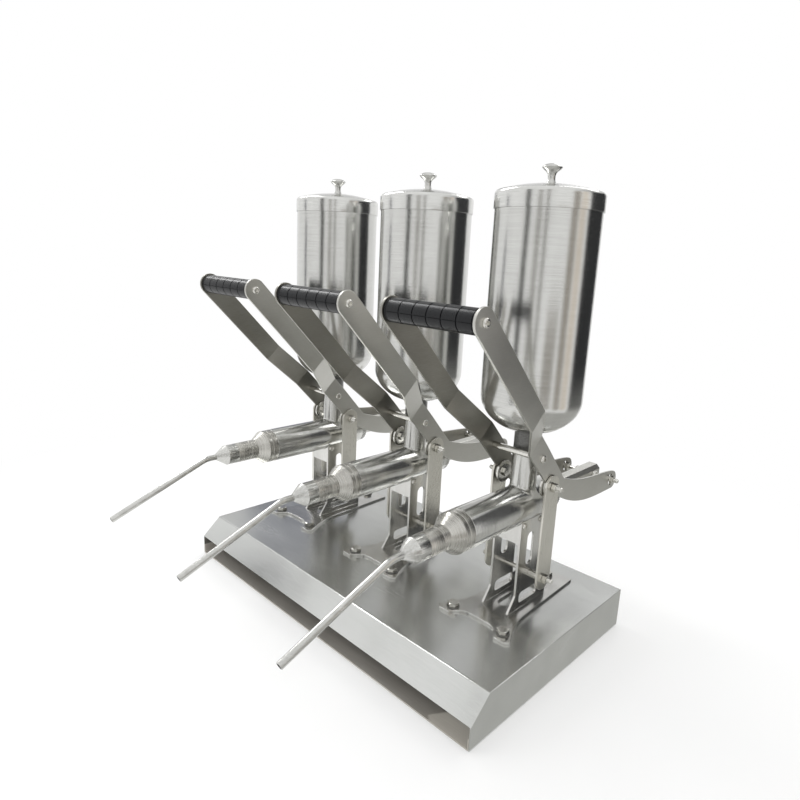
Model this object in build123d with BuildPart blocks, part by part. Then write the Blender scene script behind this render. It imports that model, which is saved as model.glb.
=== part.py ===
from build123d import *
import math
import os

os.makedirs("parts", exist_ok=True)

# Three filling stations stand in a row on one folded base.
stations = (("left", -1), ("middle", 0), ("right", 1))
row_pitch = 186.5
end_margin = 85.5

# Base box: folded sheet with a sloped front above an open slot.
base_depth = 318.0
base_height = 53.0
base_sheet = 1.5
slope_run = 27.6
slot_height = 27.4
floor_flange = 14.0
floor_fit = 0.1
hopper_line_y = 27.4

# Fasteners and fits.
bolt_r = 3.0
bolt_fit = 0.05
thread_fit = 0.02
nut_flats = 10.0
nut_height = 5.0
head_height = 4.0
screw_r = 2.0
screw_head_r = 4.0
screw_head_height = 2.4
dome_screw_r = 2.5
dome_head_r = 5.0
dome_head_height = 3.2
seat_gap = 0.02
face_gap = 0.3

# Pump barrel, neck and the pieces screwed to its ends.
barrel_rise = 133.5
barrel_r = 24.0
barrel_bore_r = 20.5
barrel_front_y = -119.0
barrel_rear_y = 45.0
spigot_fit = 0.05
neck_r = 16.0
neck_wall = 2.0
neck_margin = 11.5
neck_weld = 3.0
lug_margin = 6.5
ring_r = 22.7
ring_width = 10.0
ring_clearance = 1.4
ring_spigot = 6.0
reducer_r = 23.8
reducer_band = 14.5
reducer_cone = 13.5
reducer_tube_r = 14.0
reducer_tube = 31.0
reducer_wall = 3.0
reducer_spigot = 8.0
nozzle_cap = 15.0
nozzle_cone = 14.0
nozzle_r = 4.0
nozzle_wall = 1.0
nozzle_spigot = 10.0
nozzle_straight = 9.0
nozzle_bend_r = 30.0
nozzle_bend_angle = 22.6
nozzle_spout = 132.3

# Hopper, collar, lid and knob.
hopper_r = 60.0
hopper_sheet = 1.5
hopper_bowl_height = 44.0
hopper_wall = 228.3
bowl_gap = 0.2
spout_drop = 38.0
collar_wall = 1.5
collar_length = 21.0
lid_sheet = 1.0
lid_fit = 0.3
lid_seat = 0.2
lid_overlap = 17.2
lid_edge_r = 5.0
lid_dome = 8.0
knob_stem_r = 4.2
knob_stem = 12.0
knob_r = 11.35
knob_head = 9.5
knob_stud_r = 3.0

# Piston and drawbar.
piston_rest_gap = 1.5
piston_length = 20.0
piston_fit = 0.1
seal_fit = 0.05
seal_depth = 2.0
seal_width = 3.0
seal_inset = 3.5
bar_width = 22.0
bar_height = 24.0
bar_chamfer = 5.0
bar_overhang = 21.0
stud_r = 5.0
stud_length = 12.0
draw_pin_y = 163.0
draw_pin_rise = 1.5
draw_bolt_tail = 6.4

# Stand: foot plate, two cheeks and a front web.
stand_sheet = 3.0
cheek_outer_x = 20.0
cheek_front_y = -25.0
cheek_rear_y = 22.5
toe_y = -38.7
toe_rise = 19.0
heel_y = 43.2
heel_rise = 10.0
heel_shoulder = 9.4
heel_step_y = 32.6
window_width = 14.0
window_foot = 13.5
window_head = 11.5
window_shift = -1.0
opening_width = 38.0
opening_height = 14.0
opening_corner = 5.0
opening_y = 2.5
opening_rise = 14.0
web_depth = 42.8
ear_front_y = -86.0
ear_outer_x = 54.0
ear_inner_x = 34.0
ear_chamfer = 5.0
scallop_y = -69.0
scallop_x = 12.0
waist_x = 34.0
waist_y = -20.0
tail_x = 29.0
tail_y = 98.0
foot_slot_width = 16.0
foot_slot_front_y = -26.0
foot_slot_rear_y = 46.0
foot_bolt_x = 37.8
foot_bolt_y = -72.5
tail_bolt_y = 81.1
barrel_screw_margin = 6.7
barrel_screw_front = 6.5
barrel_screw_rear = 5.5

# Rocker links.
rocker_y = 3.0
rocker_rise = 45.5
rocker_length = 119.0
link_width = 29.0
link_sheet = 3.0
link_gap = 0.5
rocker_bolt_tail = 6.7
sleeve_r = 5.0

# Lever plates: a straight arm, a jog and a long curved horn.
lever_sheet = 3.0
lever_lower_x = 33.5
lever_upper_x = 57.5
lever_bend_r = 4.0
arm_angle = 46.0
arm_width = 29.0
arm_length = 274.5
pivot_offset = 11.8
upper_bend_back = 126.4
lower_bend_back = 70.7
horn_back = 12.5
horn_tip_r = 12.5
horn_tip_reach = 5.0
belly_back = 85.7
belly_drop = 8.6
crest_back = 77.9
crest_rise = 19.6
notch_back = 31.5
notch_rise = 2.5
notch_r = 5.0
pivot_lobe_r = 12.0
draw_slot_height = 16.4
draw_slot_width = 9.2
cross_rod_r = 4.0
cross_rod_back = 44.7
cross_rod_shift = 1.2
rod_thread_depth = 10.0
pivot_disc_r = 14.5
pivot_disc = 3.0
pivot_head = 3.2
pivot_bolt_tail = 7.5
grip_r = 12.5
groove_depth = 0.8
groove_width = 1.6
groove_count = 6

base_width = row_pitch * 2 + end_margin * 2
front_y = -base_depth / 2
rear_y = base_depth / 2
floor_x = base_width / 2 - base_sheet - floor_fit
foot_top_z = base_height + stand_sheet
cheek_inner_x = cheek_outer_x - stand_sheet
barrel_axis_z = base_height + barrel_rise
barrel_seat_z = barrel_axis_z - math.sqrt(barrel_r**2 - cheek_outer_x**2)
barrel_screw_z = barrel_seat_z - barrel_screw_margin
lug_bottom_z = barrel_screw_z - lug_margin
screw_front_y = cheek_front_y + barrel_screw_front
screw_rear_y = cheek_rear_y - barrel_screw_rear
rocker_low_z = base_height + rocker_rise
rocker_top_z = rocker_low_z + rocker_length
window_low_z = rocker_low_z + window_foot
window_high_z = barrel_screw_z - window_head
window_y = (cheek_front_y + cheek_rear_y) / 2 + window_shift
neck_top_z = barrel_axis_z + hopper_r + neck_margin
neck_bore_r = neck_r - neck_wall
spout_r = neck_bore_r - spigot_fit
collar_top_z = neck_top_z + collar_length
bowl_depth = hopper_bowl_height * math.sqrt(1 - (spout_r / hopper_r) ** 2)
hopper_bowl_z = collar_top_z + bowl_gap + bowl_depth
hopper_rim_z = hopper_bowl_z + hopper_wall
lid_r = hopper_r + lid_fit + lid_sheet
lid_inner_edge_r = lid_edge_r - lid_sheet
lid_edge_z = hopper_rim_z + lid_seat - math.sqrt(lid_inner_edge_r**2 - (lid_inner_edge_r - lid_fit) ** 2)
lid_skirt_z = hopper_rim_z - lid_overlap
lid_top_z = lid_edge_z + lid_edge_r + lid_dome
bar_corner_r = max(
    math.hypot(bar_width / 2, bar_height / 2 - bar_chamfer),
    math.hypot(bar_width / 2 - bar_chamfer, bar_height / 2),
)
ring_rear_y = barrel_rear_y + ring_width
ring_bore_r = bar_corner_r + ring_clearance
draw_pin_z = barrel_axis_z + draw_pin_rise
bar_rear_y = draw_pin_y + bar_overhang
piston_rear_y = barrel_rear_y - ring_spigot - piston_rest_gap
piston_front_y = piston_rear_y - piston_length
reducer_front_y = barrel_front_y - reducer_band - reducer_cone - reducer_tube
lever_outer_x = lever_lower_x + lever_sheet
link_inner_x = lever_outer_x + link_gap
link_outer_x = link_inner_x + link_sheet
draw_bolt_half = lever_outer_x + face_gap + nut_height + draw_bolt_tail
rocker_bolt_half = link_outer_x + face_gap + nut_height + rocker_bolt_tail
pivot_bolt_end = link_outer_x + face_gap + nut_height + pivot_bolt_tail

upper_bend = arm_length - upper_bend_back
lower_bend = arm_length - lower_bend_back
horn_start = arm_length - horn_back

arm_dir = Vector(math.cos(math.radians(arm_angle)), -math.sin(math.radians(arm_angle)))
arm_side = Vector(math.sin(math.radians(arm_angle)), math.cos(math.radians(arm_angle)))
rocker_top = Vector(rocker_y, rocker_top_z)
grip_centre = rocker_top - arm_dir * arm_length + arm_side * pivot_offset
draw_pin = Vector(draw_pin_y, draw_pin_z)
cross_rod = grip_centre + arm_dir * (arm_length - cross_rod_back) - arm_side * cross_rod_shift


def side_plane(x):
    """Plane facing +X, with local x along the object's Y from the hopper line."""
    return Plane(origin=(x, hopper_line_y, 0), x_dir=(0, 1, 0), z_dir=(1, 0, 0))


def front_plane(x, y):
    """Plane facing the front, with local axes along X and Z."""
    return Plane(origin=(x, hopper_line_y + y, 0), x_dir=(1, 0, 0), z_dir=(0, -1, 0))


def top_plane(x, z):
    """Horizontal plane centred under one hopper."""
    return Plane(origin=(x, hopper_line_y, z))


def arm_point(along, across):
    """Point on the lever, measured from the grip along and across the arm."""
    spot = grip_centre + arm_dir * along + arm_side * across
    return (spot.X, spot.Y)


def keep(piece, name):
    """Label a finished piece and write it."""
    piece.part.label = name
    export_step(piece.part, "parts/" + name + ".step")


# Base shell: top, slope, rear and side panels in one folded sheet.
slope_angle = math.atan2(base_height - slot_height, slope_run)
slope_shift = base_sheet / math.sin(slope_angle)
inner_top_z = base_height - base_sheet
inner_top_y = front_y + slope_shift + (inner_top_z - slot_height) / math.tan(slope_angle)
shell_plane = Plane(origin=(-base_width / 2, 0, 0), x_dir=(0, 1, 0), z_dir=(1, 0, 0))
foot_bolts_at = [
    (row_pitch * place + x, hopper_line_y + y)
    for name, place in stations
    for x, y in ((-foot_bolt_x, foot_bolt_y), (foot_bolt_x, foot_bolt_y), (0, tail_bolt_y))
]

with BuildPart() as base_shell:
    with BuildSketch(shell_plane):
        with BuildLine():
            Polyline(
                (rear_y, 0),
                (rear_y, base_height),
                (front_y + slope_run, base_height),
                (front_y, slot_height),
                (front_y, 0),
                close=True,
            )
        make_face()
    extrude(amount=base_width)
    with BuildSketch(shell_plane.offset(base_sheet)):
        with BuildLine():
            Polyline(
                (rear_y - base_sheet, -1),
                (rear_y - base_sheet, inner_top_z),
                (inner_top_y, inner_top_z),
                (front_y + slope_shift, slot_height),
                (front_y - 1, slot_height),
                (front_y - 1, -1),
                close=True,
            )
        make_face()
    extrude(amount=base_width - 2 * base_sheet, mode=Mode.SUBTRACT)
    with BuildSketch(Plane.XY.offset(inner_top_z)):
        with Locations(*foot_bolts_at):
            Circle(bolt_r + bolt_fit)
    extrude(amount=base_sheet, mode=Mode.SUBTRACT)
keep(base_shell, "base_shell")

# Base floor: a tray with upturned rear and side flanges, open to the front.
floor_rear_y = rear_y - base_sheet - floor_fit
with BuildPart() as base_floor:
    with BuildSketch(Plane.XY):
        with Locations((0, (front_y + floor_rear_y) / 2)):
            Rectangle(2 * floor_x, floor_rear_y - front_y)
    extrude(amount=floor_flange)
    with BuildSketch(Plane.XY.offset(base_sheet)):
        with Locations((0, (front_y + floor_rear_y - base_sheet) / 2)):
            Rectangle(2 * (floor_x - base_sheet), floor_rear_y - base_sheet - front_y)
    extrude(amount=floor_flange, mode=Mode.SUBTRACT)
keep(base_floor, "base_floor")

# Foot bolts: a hexagon head on each foot plate, a nut under the base top.
with BuildPart() as foot_bolts:
    with BuildSketch(Plane.XY.offset(foot_top_z)):
        with Locations(*foot_bolts_at):
            RegularPolygon(radius=nut_flats / 2, side_count=6, major_radius=False)
    extrude(amount=head_height)
    chamfer(foot_bolts.faces().group_by(Axis.Z)[-1].edges(), length=0.6)
    with BuildSketch(Plane.XY.offset(foot_top_z)):
        with Locations(*foot_bolts_at):
            Circle(bolt_r)
    extrude(amount=-(foot_top_z - inner_top_z + nut_height + bolt_r))
    with BuildSketch(Plane.XY.offset(inner_top_z - seat_gap)):
        with Locations(*foot_bolts_at):
            RegularPolygon(radius=nut_flats / 2, side_count=6, major_radius=False)
            Circle(bolt_r + thread_fit, mode=Mode.SUBTRACT)
    extrude(amount=-nut_height)
keep(foot_bolts, "foot_bolts")

# Soft sleeves between each pump neck and its hopper.
with BuildPart() as hopper_collars:
    for name, place in stations:
        with BuildSketch(top_plane(row_pitch * place, neck_top_z + seat_gap)):
            Circle(spout_r + bolt_fit + collar_wall)
            Circle(spout_r + bolt_fit, mode=Mode.SUBTRACT)
        extrude(amount=collar_top_z - neck_top_z - seat_gap)
keep(hopper_collars, "hopper_collars")

# Fixed pivot bolts of the rockers, with spacing sleeves and outer nuts.
with BuildPart() as link_pivot_bolts:
    for name, place in stations:
        station_x = row_pitch * place
        with BuildSketch(side_plane(station_x - rocker_bolt_half)):
            with Locations((rocker_y, rocker_low_z)):
                Circle(bolt_r)
        extrude(amount=2 * rocker_bolt_half)
        for start_x in (cheek_outer_x + seat_gap, face_gap - link_inner_x):
            with BuildSketch(side_plane(station_x + start_x)):
                with Locations((rocker_y, rocker_low_z)):
                    Circle(sleeve_r)
                    Circle(bolt_r + thread_fit, mode=Mode.SUBTRACT)
            extrude(amount=link_inner_x - face_gap - cheek_outer_x - seat_gap)
        for start_x in (link_outer_x + face_gap, -link_outer_x - face_gap - nut_height):
            with BuildSketch(side_plane(station_x + start_x)):
                with Locations((rocker_y, rocker_low_z)):
                    RegularPolygon(radius=nut_flats / 2, side_count=6, major_radius=False)
                    Circle(bolt_r + thread_fit, mode=Mode.SUBTRACT)
            extrude(amount=nut_height)
keep(link_pivot_bolts, "link_pivot_bolts")

# Small screws that hold each barrel lug between the stand's cheeks.
with BuildPart() as barrel_screws:
    for name, place in stations:
        station_x = row_pitch * place
        for screw_y in (screw_front_y, screw_rear_y):
            for hand in (-1, 1):
                outer = Plane(
                    origin=(station_x + hand * cheek_outer_x, hopper_line_y, 0),
                    x_dir=(0, hand, 0),
                    z_dir=(hand, 0, 0),
                )
                with BuildSketch(outer):
                    with Locations((hand * screw_y, barrel_screw_z)):
                        Circle(screw_head_r)
                extrude(amount=screw_head_height, taper=28)
                with BuildSketch(outer):
                    with Locations((hand * screw_y, barrel_screw_z)):
                        Circle(screw_r)
                extrude(amount=-(stand_sheet + 2 * screw_r))
keep(barrel_screws, "barrel_screws")

for name, place in stations:
    station_x = row_pitch * place
    pump_axis = Axis((station_x, 0, barrel_axis_z), (0, 1, 0))
    hopper_axis = Axis((station_x, hopper_line_y, 0), (0, 0, 1))
    middle_plane = Plane.YZ.offset(station_x)

    # Stand: foot plate with front ears, slotted cheeks and a front web.
    with BuildPart() as stand:
        with BuildSketch(top_plane(station_x, base_height)):
            with BuildLine():
                Line((0, scallop_y), (scallop_x, scallop_y))
                TangentArc((scallop_x, scallop_y), (ear_inner_x, ear_front_y), tangent=(1, 0))
                Polyline(
                    (ear_inner_x, ear_front_y),
                    (ear_outer_x - ear_chamfer, ear_front_y),
                    (ear_outer_x, ear_front_y + ear_chamfer),
                )
                Spline(
                    (ear_outer_x, ear_front_y + ear_chamfer),
                    (waist_x, waist_y),
                    tangents=((-1, 2), (-0.1, 2)),
                )
                Polyline((waist_x, waist_y), (tail_x, tail_y), (0, tail_y), (0, scallop_y))
            make_face()
            mirror(about=Plane.YZ)
            with Locations((0, (foot_slot_front_y + foot_slot_rear_y) / 2)):
                SlotOverall(
                    foot_slot_rear_y - foot_slot_front_y,
                    foot_slot_width,
                    rotation=90,
                    mode=Mode.SUBTRACT,
                )
            with Locations(
                (-foot_bolt_x, foot_bolt_y), (foot_bolt_x, foot_bolt_y), (0, tail_bolt_y)
            ):
                Circle(bolt_r + bolt_fit, mode=Mode.SUBTRACT)
        extrude(amount=stand_sheet)
        with BuildSketch(side_plane(station_x + cheek_inner_x)) as cheek:
            with BuildLine():
                Polyline(
                    (cheek_front_y, barrel_axis_z),
                    (cheek_front_y, foot_top_z + toe_rise),
                    (toe_y, foot_top_z),
                    (heel_y, foot_top_z),
                    (heel_y, foot_top_z + heel_rise),
                    (heel_step_y, foot_top_z + heel_rise + heel_shoulder),
                    (cheek_rear_y, foot_top_z + heel_rise + heel_shoulder),
                    (cheek_rear_y, barrel_axis_z),
                    close=True,
                )
            make_face()
            corners = cheek.vertices().sort_by(Axis.Y)
            fillet(corners[2], radius=heel_rise / 3)
            fillet(cheek.vertices().sort_by(Axis.Y)[4:6], radius=heel_shoulder / 3)
        extrude(amount=stand_sheet)
        mirror(about=middle_plane)
        with BuildSketch(front_plane(station_x, cheek_front_y + stand_sheet)):
            with Locations((0, barrel_axis_z - web_depth / 2)):
                Rectangle(2 * cheek_inner_x, web_depth)
        extrude(amount=stand_sheet)
        with BuildSketch(side_plane(station_x - cheek_outer_x)):
            with Locations((window_y, (window_low_z + window_high_z) / 2)):
                SlotOverall(window_high_z - window_low_z, window_width, rotation=90)
            with Locations((opening_y, foot_top_z + opening_rise)):
                RectangleRounded(opening_width, opening_height, opening_corner)
            with Locations((rocker_y, rocker_low_z)):
                Circle(bolt_r + bolt_fit)
            with Locations(
                (screw_front_y, barrel_screw_z), (screw_rear_y, barrel_screw_z)
            ):
                Circle(screw_r + bolt_fit)
        extrude(amount=2 * cheek_outer_x, mode=Mode.SUBTRACT)
        with BuildSketch(front_plane(station_x, cheek_rear_y + 1)):
            with Locations((0, barrel_axis_z)):
                Circle(barrel_r + seat_gap)
        extrude(amount=cheek_rear_y - cheek_front_y + 2, mode=Mode.SUBTRACT)
    keep(stand, name + "_stand")

    # Pump body: barrel tube with a welded neck and a mounting lug below.
    lug_front_y = cheek_front_y + stand_sheet + seat_gap
    with BuildPart() as pump_body:
        with BuildSketch(front_plane(station_x, barrel_rear_y)):
            with Locations((0, barrel_axis_z)):
                Circle(barrel_r)
        extrude(amount=barrel_rear_y - barrel_front_y)
        with BuildSketch(top_plane(station_x, barrel_axis_z)):
            Circle(neck_r)
        extrude(amount=neck_top_z - barrel_axis_z)
        weld = (
            pump_body.edges()
            .filter_by(lambda edge: edge.bounding_box().size.X < 2 * neck_r + 1)
            .filter_by(lambda edge: edge.center().Z < barrel_axis_z + barrel_r)
            .filter_by(lambda edge: edge.bounding_box().size.Z > 1)
            .filter_by(lambda edge: edge.geom_type not in (GeomType.LINE, GeomType.CIRCLE))
        )
        fillet(weld, radius=neck_weld)
        with BuildSketch(front_plane(station_x, cheek_rear_y)):
            with Locations((0, (lug_bottom_z + barrel_axis_z) / 2)):
                Rectangle(2 * (cheek_inner_x - seat_gap), barrel_axis_z - lug_bottom_z)
        extrude(amount=cheek_rear_y - lug_front_y)
        with BuildSketch(front_plane(station_x, barrel_rear_y)):
            with Locations((0, barrel_axis_z)):
                Circle(barrel_bore_r)
        extrude(amount=barrel_rear_y - barrel_front_y, mode=Mode.SUBTRACT)
        with BuildSketch(top_plane(station_x, barrel_axis_z)):
            Circle(neck_bore_r)
        extrude(amount=neck_top_z - barrel_axis_z, mode=Mode.SUBTRACT)
        for start_x in (-cheek_inner_x, cheek_inner_x - 2 * screw_r - 1):
            with BuildSketch(side_plane(station_x + start_x)):
                with Locations(
                    (screw_front_y, barrel_screw_z), (screw_rear_y, barrel_screw_z)
                ):
                    Circle(screw_r + thread_fit)
            extrude(amount=2 * screw_r + 1, mode=Mode.SUBTRACT)
    keep(pump_body, name + "_pump_body")

    # Rear ring: guides the drawbar and closes the barrel behind the piston.
    with BuildPart() as rear_ring:
        with BuildSketch(front_plane(station_x, ring_rear_y)):
            with Locations((0, barrel_axis_z)):
                Circle(ring_r)
        extrude(amount=ring_width - seat_gap)
        chamfer(rear_ring.edges(), length=1)
        with BuildSketch(front_plane(station_x, barrel_rear_y + 1)):
            with Locations((0, barrel_axis_z)):
                Circle(barrel_bore_r - spigot_fit)
        extrude(amount=ring_spigot + 1)
        with BuildSketch(front_plane(station_x, ring_rear_y)):
            with Locations((0, barrel_axis_z)):
                Circle(ring_bore_r)
        extrude(amount=ring_width + ring_spigot, mode=Mode.SUBTRACT)
    keep(rear_ring, name + "_rear_ring")

    # Reducer: threaded end cap that narrows from the barrel to the nozzle tube.
    band_y = barrel_front_y - seat_gap
    cone_y = barrel_front_y - reducer_band
    tube_y = cone_y - reducer_cone
    tube_bore_r = reducer_tube_r - reducer_wall
    with BuildPart() as reducer:
        with BuildSketch(side_plane(station_x)):
            with BuildLine():
                Polyline(
                    (barrel_front_y + reducer_spigot, barrel_axis_z + barrel_bore_r - reducer_wall),
                    (barrel_front_y + reducer_spigot, barrel_axis_z + barrel_bore_r - spigot_fit),
                    (band_y, barrel_axis_z + barrel_bore_r - spigot_fit),
                    (band_y, barrel_axis_z + reducer_r),
                    (cone_y, barrel_axis_z + reducer_r),
                    (tube_y, barrel_axis_z + reducer_tube_r),
                    (reducer_front_y, barrel_axis_z + reducer_tube_r),
                    (reducer_front_y, barrel_axis_z + tube_bore_r),
                    (tube_y, barrel_axis_z + tube_bore_r),
                    (cone_y, barrel_axis_z + barrel_bore_r - reducer_wall),
                    close=True,
                )
            make_face()
        revolve(axis=pump_axis)
    keep(reducer, name + "_reducer")

    # Nozzle: union cap that tapers into a long, bent filling tube.
    cap_y = reducer_front_y - seat_gap
    taper_y = reducer_front_y - nozzle_cap
    tip_y = taper_y - nozzle_cone
    bend_y = tip_y - nozzle_straight
    with BuildPart() as nozzle:
        with BuildSketch(side_plane(station_x)) as cap:
            with BuildLine():
                Polyline(
                    (reducer_front_y + nozzle_spigot, barrel_axis_z),
                    (reducer_front_y + nozzle_spigot, barrel_axis_z + tube_bore_r - spigot_fit),
                    (cap_y, barrel_axis_z + tube_bore_r - spigot_fit),
                    (cap_y, barrel_axis_z + reducer_tube_r),
                    (taper_y, barrel_axis_z + reducer_tube_r),
                    (tip_y, barrel_axis_z + nozzle_r + nozzle_wall / 2),
                    (tip_y, barrel_axis_z),
                    close=True,
                )
            make_face()
        revolve(axis=pump_axis)
        with BuildLine(side_plane(station_x)) as spout_path:
            start = Line((taper_y, barrel_axis_z), (bend_y, barrel_axis_z))
            bend = JernArc(start @ 1, start % 1, nozzle_bend_r, nozzle_bend_angle)
            Line(bend @ 1, bend @ 1 + (bend % 1) * nozzle_spout)
        with BuildSketch(front_plane(station_x, taper_y)):
            with Locations((0, barrel_axis_z)):
                Circle(nozzle_r)
        sweep(path=spout_path.wires()[0])
        with BuildSketch(side_plane(station_x)):
            with BuildLine():
                Polyline(
                    (reducer_front_y + nozzle_spigot, barrel_axis_z),
                    (reducer_front_y + nozzle_spigot, barrel_axis_z + tube_bore_r - 2 * nozzle_wall),
                    (taper_y, barrel_axis_z + tube_bore_r - 2 * nozzle_wall),
                    (tip_y, barrel_axis_z + nozzle_r - nozzle_wall),
                    (tip_y, barrel_axis_z),
                    close=True,
                )
            make_face()
        revolve(axis=pump_axis, mode=Mode.SUBTRACT)
        with BuildSketch(front_plane(station_x, taper_y)):
            with Locations((0, barrel_axis_z)):
                Circle(nozzle_r - nozzle_wall)
        sweep(path=spout_path.wires()[0], mode=Mode.SUBTRACT)
    keep(nozzle, name + "_nozzle")

    # Hopper: straight cylinder on an elliptical bowl with a short spout.
    with BuildPart() as hopper:
        with BuildSketch(side_plane(station_x)):
            with BuildLine():
                outer_start = -math.degrees(math.acos(spout_r / hopper_r))
                inner_r = hopper_r - hopper_sheet
                spout_inner_r = spout_r - hopper_sheet
                inner_start = -math.degrees(math.acos(spout_inner_r / inner_r))
                outer_bowl = EllipticalCenterArc(
                    (0, hopper_bowl_z),
                    hopper_r,
                    hopper_bowl_height,
                    outer_start,
                    arc_size=-outer_start,
                )
                inner_bowl = EllipticalCenterArc(
                    (0, hopper_bowl_z),
                    inner_r,
                    hopper_bowl_height - hopper_sheet,
                    inner_start,
                    arc_size=-inner_start,
                )
                Polyline(
                    outer_bowl @ 0,
                    (spout_r, collar_top_z - spout_drop),
                    (spout_inner_r, collar_top_z - spout_drop),
                    inner_bowl @ 0,
                )
                Polyline(
                    outer_bowl @ 1,
                    (hopper_r, hopper_rim_z),
                    (inner_r, hopper_rim_z),
                    inner_bowl @ 1,
                )
            make_face()
        revolve(axis=hopper_axis)
    keep(hopper, name + "_hopper")

    # Lid: domed sheet with a rounded edge and a skirt over the hopper rim.
    edge_flat_r = lid_r - lid_edge_r
    dome_z = lid_edge_z + lid_edge_r
    with BuildPart() as hopper_lid:
        with BuildSketch(side_plane(station_x)):
            with BuildLine():
                Line((lid_r, lid_skirt_z), (lid_r, lid_edge_z))
                RadiusArc((lid_r, lid_edge_z), (edge_flat_r, dome_z), -lid_edge_r)
                SagittaArc((edge_flat_r, dome_z), (-edge_flat_r, dome_z), -lid_dome)
                Line((-edge_flat_r, dome_z), (-edge_flat_r, dome_z - lid_sheet))
                SagittaArc(
                    (-edge_flat_r, dome_z - lid_sheet), (edge_flat_r, dome_z - lid_sheet), lid_dome
                )
                RadiusArc(
                    (edge_flat_r, dome_z - lid_sheet),
                    (lid_r - lid_sheet, lid_edge_z),
                    lid_edge_r - lid_sheet,
                )
                Polyline(
                    (lid_r - lid_sheet, lid_edge_z), (lid_r - lid_sheet, lid_skirt_z), (lid_r, lid_skirt_z)
                )
            make_face()
            with Locations((-lid_r, dome_z)):
                Rectangle(2 * lid_r, 4 * lid_dome, mode=Mode.SUBTRACT)
        revolve(axis=hopper_axis)
        with BuildSketch(top_plane(station_x, dome_z)):
            Circle(knob_stud_r + bolt_fit)
        extrude(amount=lid_dome + 1, mode=Mode.SUBTRACT)
    keep(hopper_lid, name + "_hopper_lid")

    # Knob: turned mushroom on a waisted stem, riveted through the lid.
    stem_z = lid_top_z + seat_gap
    knob_z = stem_z + knob_stem
    rivet_z = lid_top_z - lid_sheet - seat_gap
    with BuildPart() as lid_knob:
        with BuildSketch(side_plane(station_x)):
            with BuildLine():
                Polyline(
                    (0, rivet_z - lid_sheet),
                    (2 * knob_stud_r, rivet_z - lid_sheet),
                    (2 * knob_stud_r, rivet_z - lid_sheet / 3),
                    (knob_stud_r, rivet_z - lid_sheet / 3),
                    (knob_stud_r, stem_z),
                    (knob_stem_r + 1, stem_z),
                )
                Spline(
                    (knob_stem_r + 1, stem_z),
                    (knob_stem_r, stem_z + knob_stem / 2),
                    (knob_stem_r + 0.8, knob_z),
                    (knob_r, knob_z + knob_head * 0.55),
                    tangents=((-0.3, 1), (1, 0.6)),
                )
                Spline(
                    (knob_r, knob_z + knob_head * 0.55),
                    (0, knob_z + knob_head),
                    tangents=((-0.6, 1), (-1, 0)),
                )
                Line((0, knob_z + knob_head), (0, rivet_z - lid_sheet))
            make_face()
        revolve(axis=hopper_axis)
    keep(lid_knob, name + "_lid_knob")

    # Drawbar: chamfered square bar with a stud that screws into the piston.
    with BuildPart() as drawbar:
        with BuildSketch(front_plane(station_x, bar_rear_y)):
            with Locations((0, barrel_axis_z)):
                Rectangle(bar_width, bar_height)
        extrude(amount=bar_rear_y - piston_rear_y - seat_gap)
        chamfer(drawbar.edges().filter_by(Axis.Y), length=bar_chamfer)
        chamfer(drawbar.faces().sort_by(Axis.Y)[-1].edges(), length=bar_chamfer * 0.7)
        with BuildSketch(front_plane(station_x, piston_rear_y + seat_gap)):
            with Locations((0, barrel_axis_z)):
                Circle(stud_r)
        extrude(amount=stud_length)
        with BuildSketch(side_plane(station_x - bar_width / 2)):
            with Locations((draw_pin_y, draw_pin_z)):
                Circle(bolt_r + bolt_fit)
        extrude(amount=bar_width, mode=Mode.SUBTRACT)
    keep(drawbar, name + "_drawbar")

    # Piston: a turned disc with two seal grooves.
    piston_r = barrel_bore_r - piston_fit
    groove_r = piston_r - seal_depth
    seal_centres = (
        piston_front_y + seal_inset + seal_width / 2,
        piston_rear_y - seal_inset - seal_width / 2,
    )
    with BuildPart() as piston:
        with BuildSketch(front_plane(station_x, piston_rear_y)):
            with Locations((0, barrel_axis_z)):
                Circle(piston_r)
        extrude(amount=piston_length)
        chamfer(piston.edges(), length=1)
        for seal_y in seal_centres:
            with BuildSketch(front_plane(station_x, seal_y + seal_width / 2)):
                with Locations((0, barrel_axis_z)):
                    Circle(barrel_bore_r)
                    Circle(groove_r, mode=Mode.SUBTRACT)
            extrude(amount=seal_width, mode=Mode.SUBTRACT)
        with BuildSketch(front_plane(station_x, piston_rear_y)):
            with Locations((0, barrel_axis_z)):
                Circle(stud_r + thread_fit)
        extrude(amount=stud_length + seat_gap, mode=Mode.SUBTRACT)
    keep(piston, name + "_piston")

    with BuildPart() as piston_seals:
        for seal_y in seal_centres:
            with BuildSketch(front_plane(station_x, seal_y + seal_width / 2 - seat_gap)):
                with Locations((0, barrel_axis_z)):
                    Circle(barrel_bore_r - seal_fit)
                    Circle(groove_r + thread_fit, mode=Mode.SUBTRACT)
            extrude(amount=seal_width - 2 * seat_gap)
    keep(piston_seals, name + "_piston_seals")

    # Drawbar bolt: a long bolt through the bar, with nuts at bar and plates.
    with BuildPart() as drawbar_bolt:
        with BuildSketch(side_plane(station_x - draw_bolt_half)):
            with Locations((draw_pin_y, draw_pin_z)):
                Circle(bolt_r)
        extrude(amount=2 * draw_bolt_half)
        for start_x in (
            bar_width / 2 + seat_gap,
            lever_lower_x - face_gap - nut_height,
            lever_outer_x + face_gap,
        ):
            with BuildSketch(side_plane(station_x + start_x), side_plane(station_x - start_x - nut_height)):
                with Locations((draw_pin_y, draw_pin_z)):
                    RegularPolygon(radius=nut_flats / 2, side_count=6, major_radius=False)
                    Circle(bolt_r + thread_fit, mode=Mode.SUBTRACT)
            extrude(amount=nut_height)
    keep(drawbar_bolt, name + "_drawbar_bolt")

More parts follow.
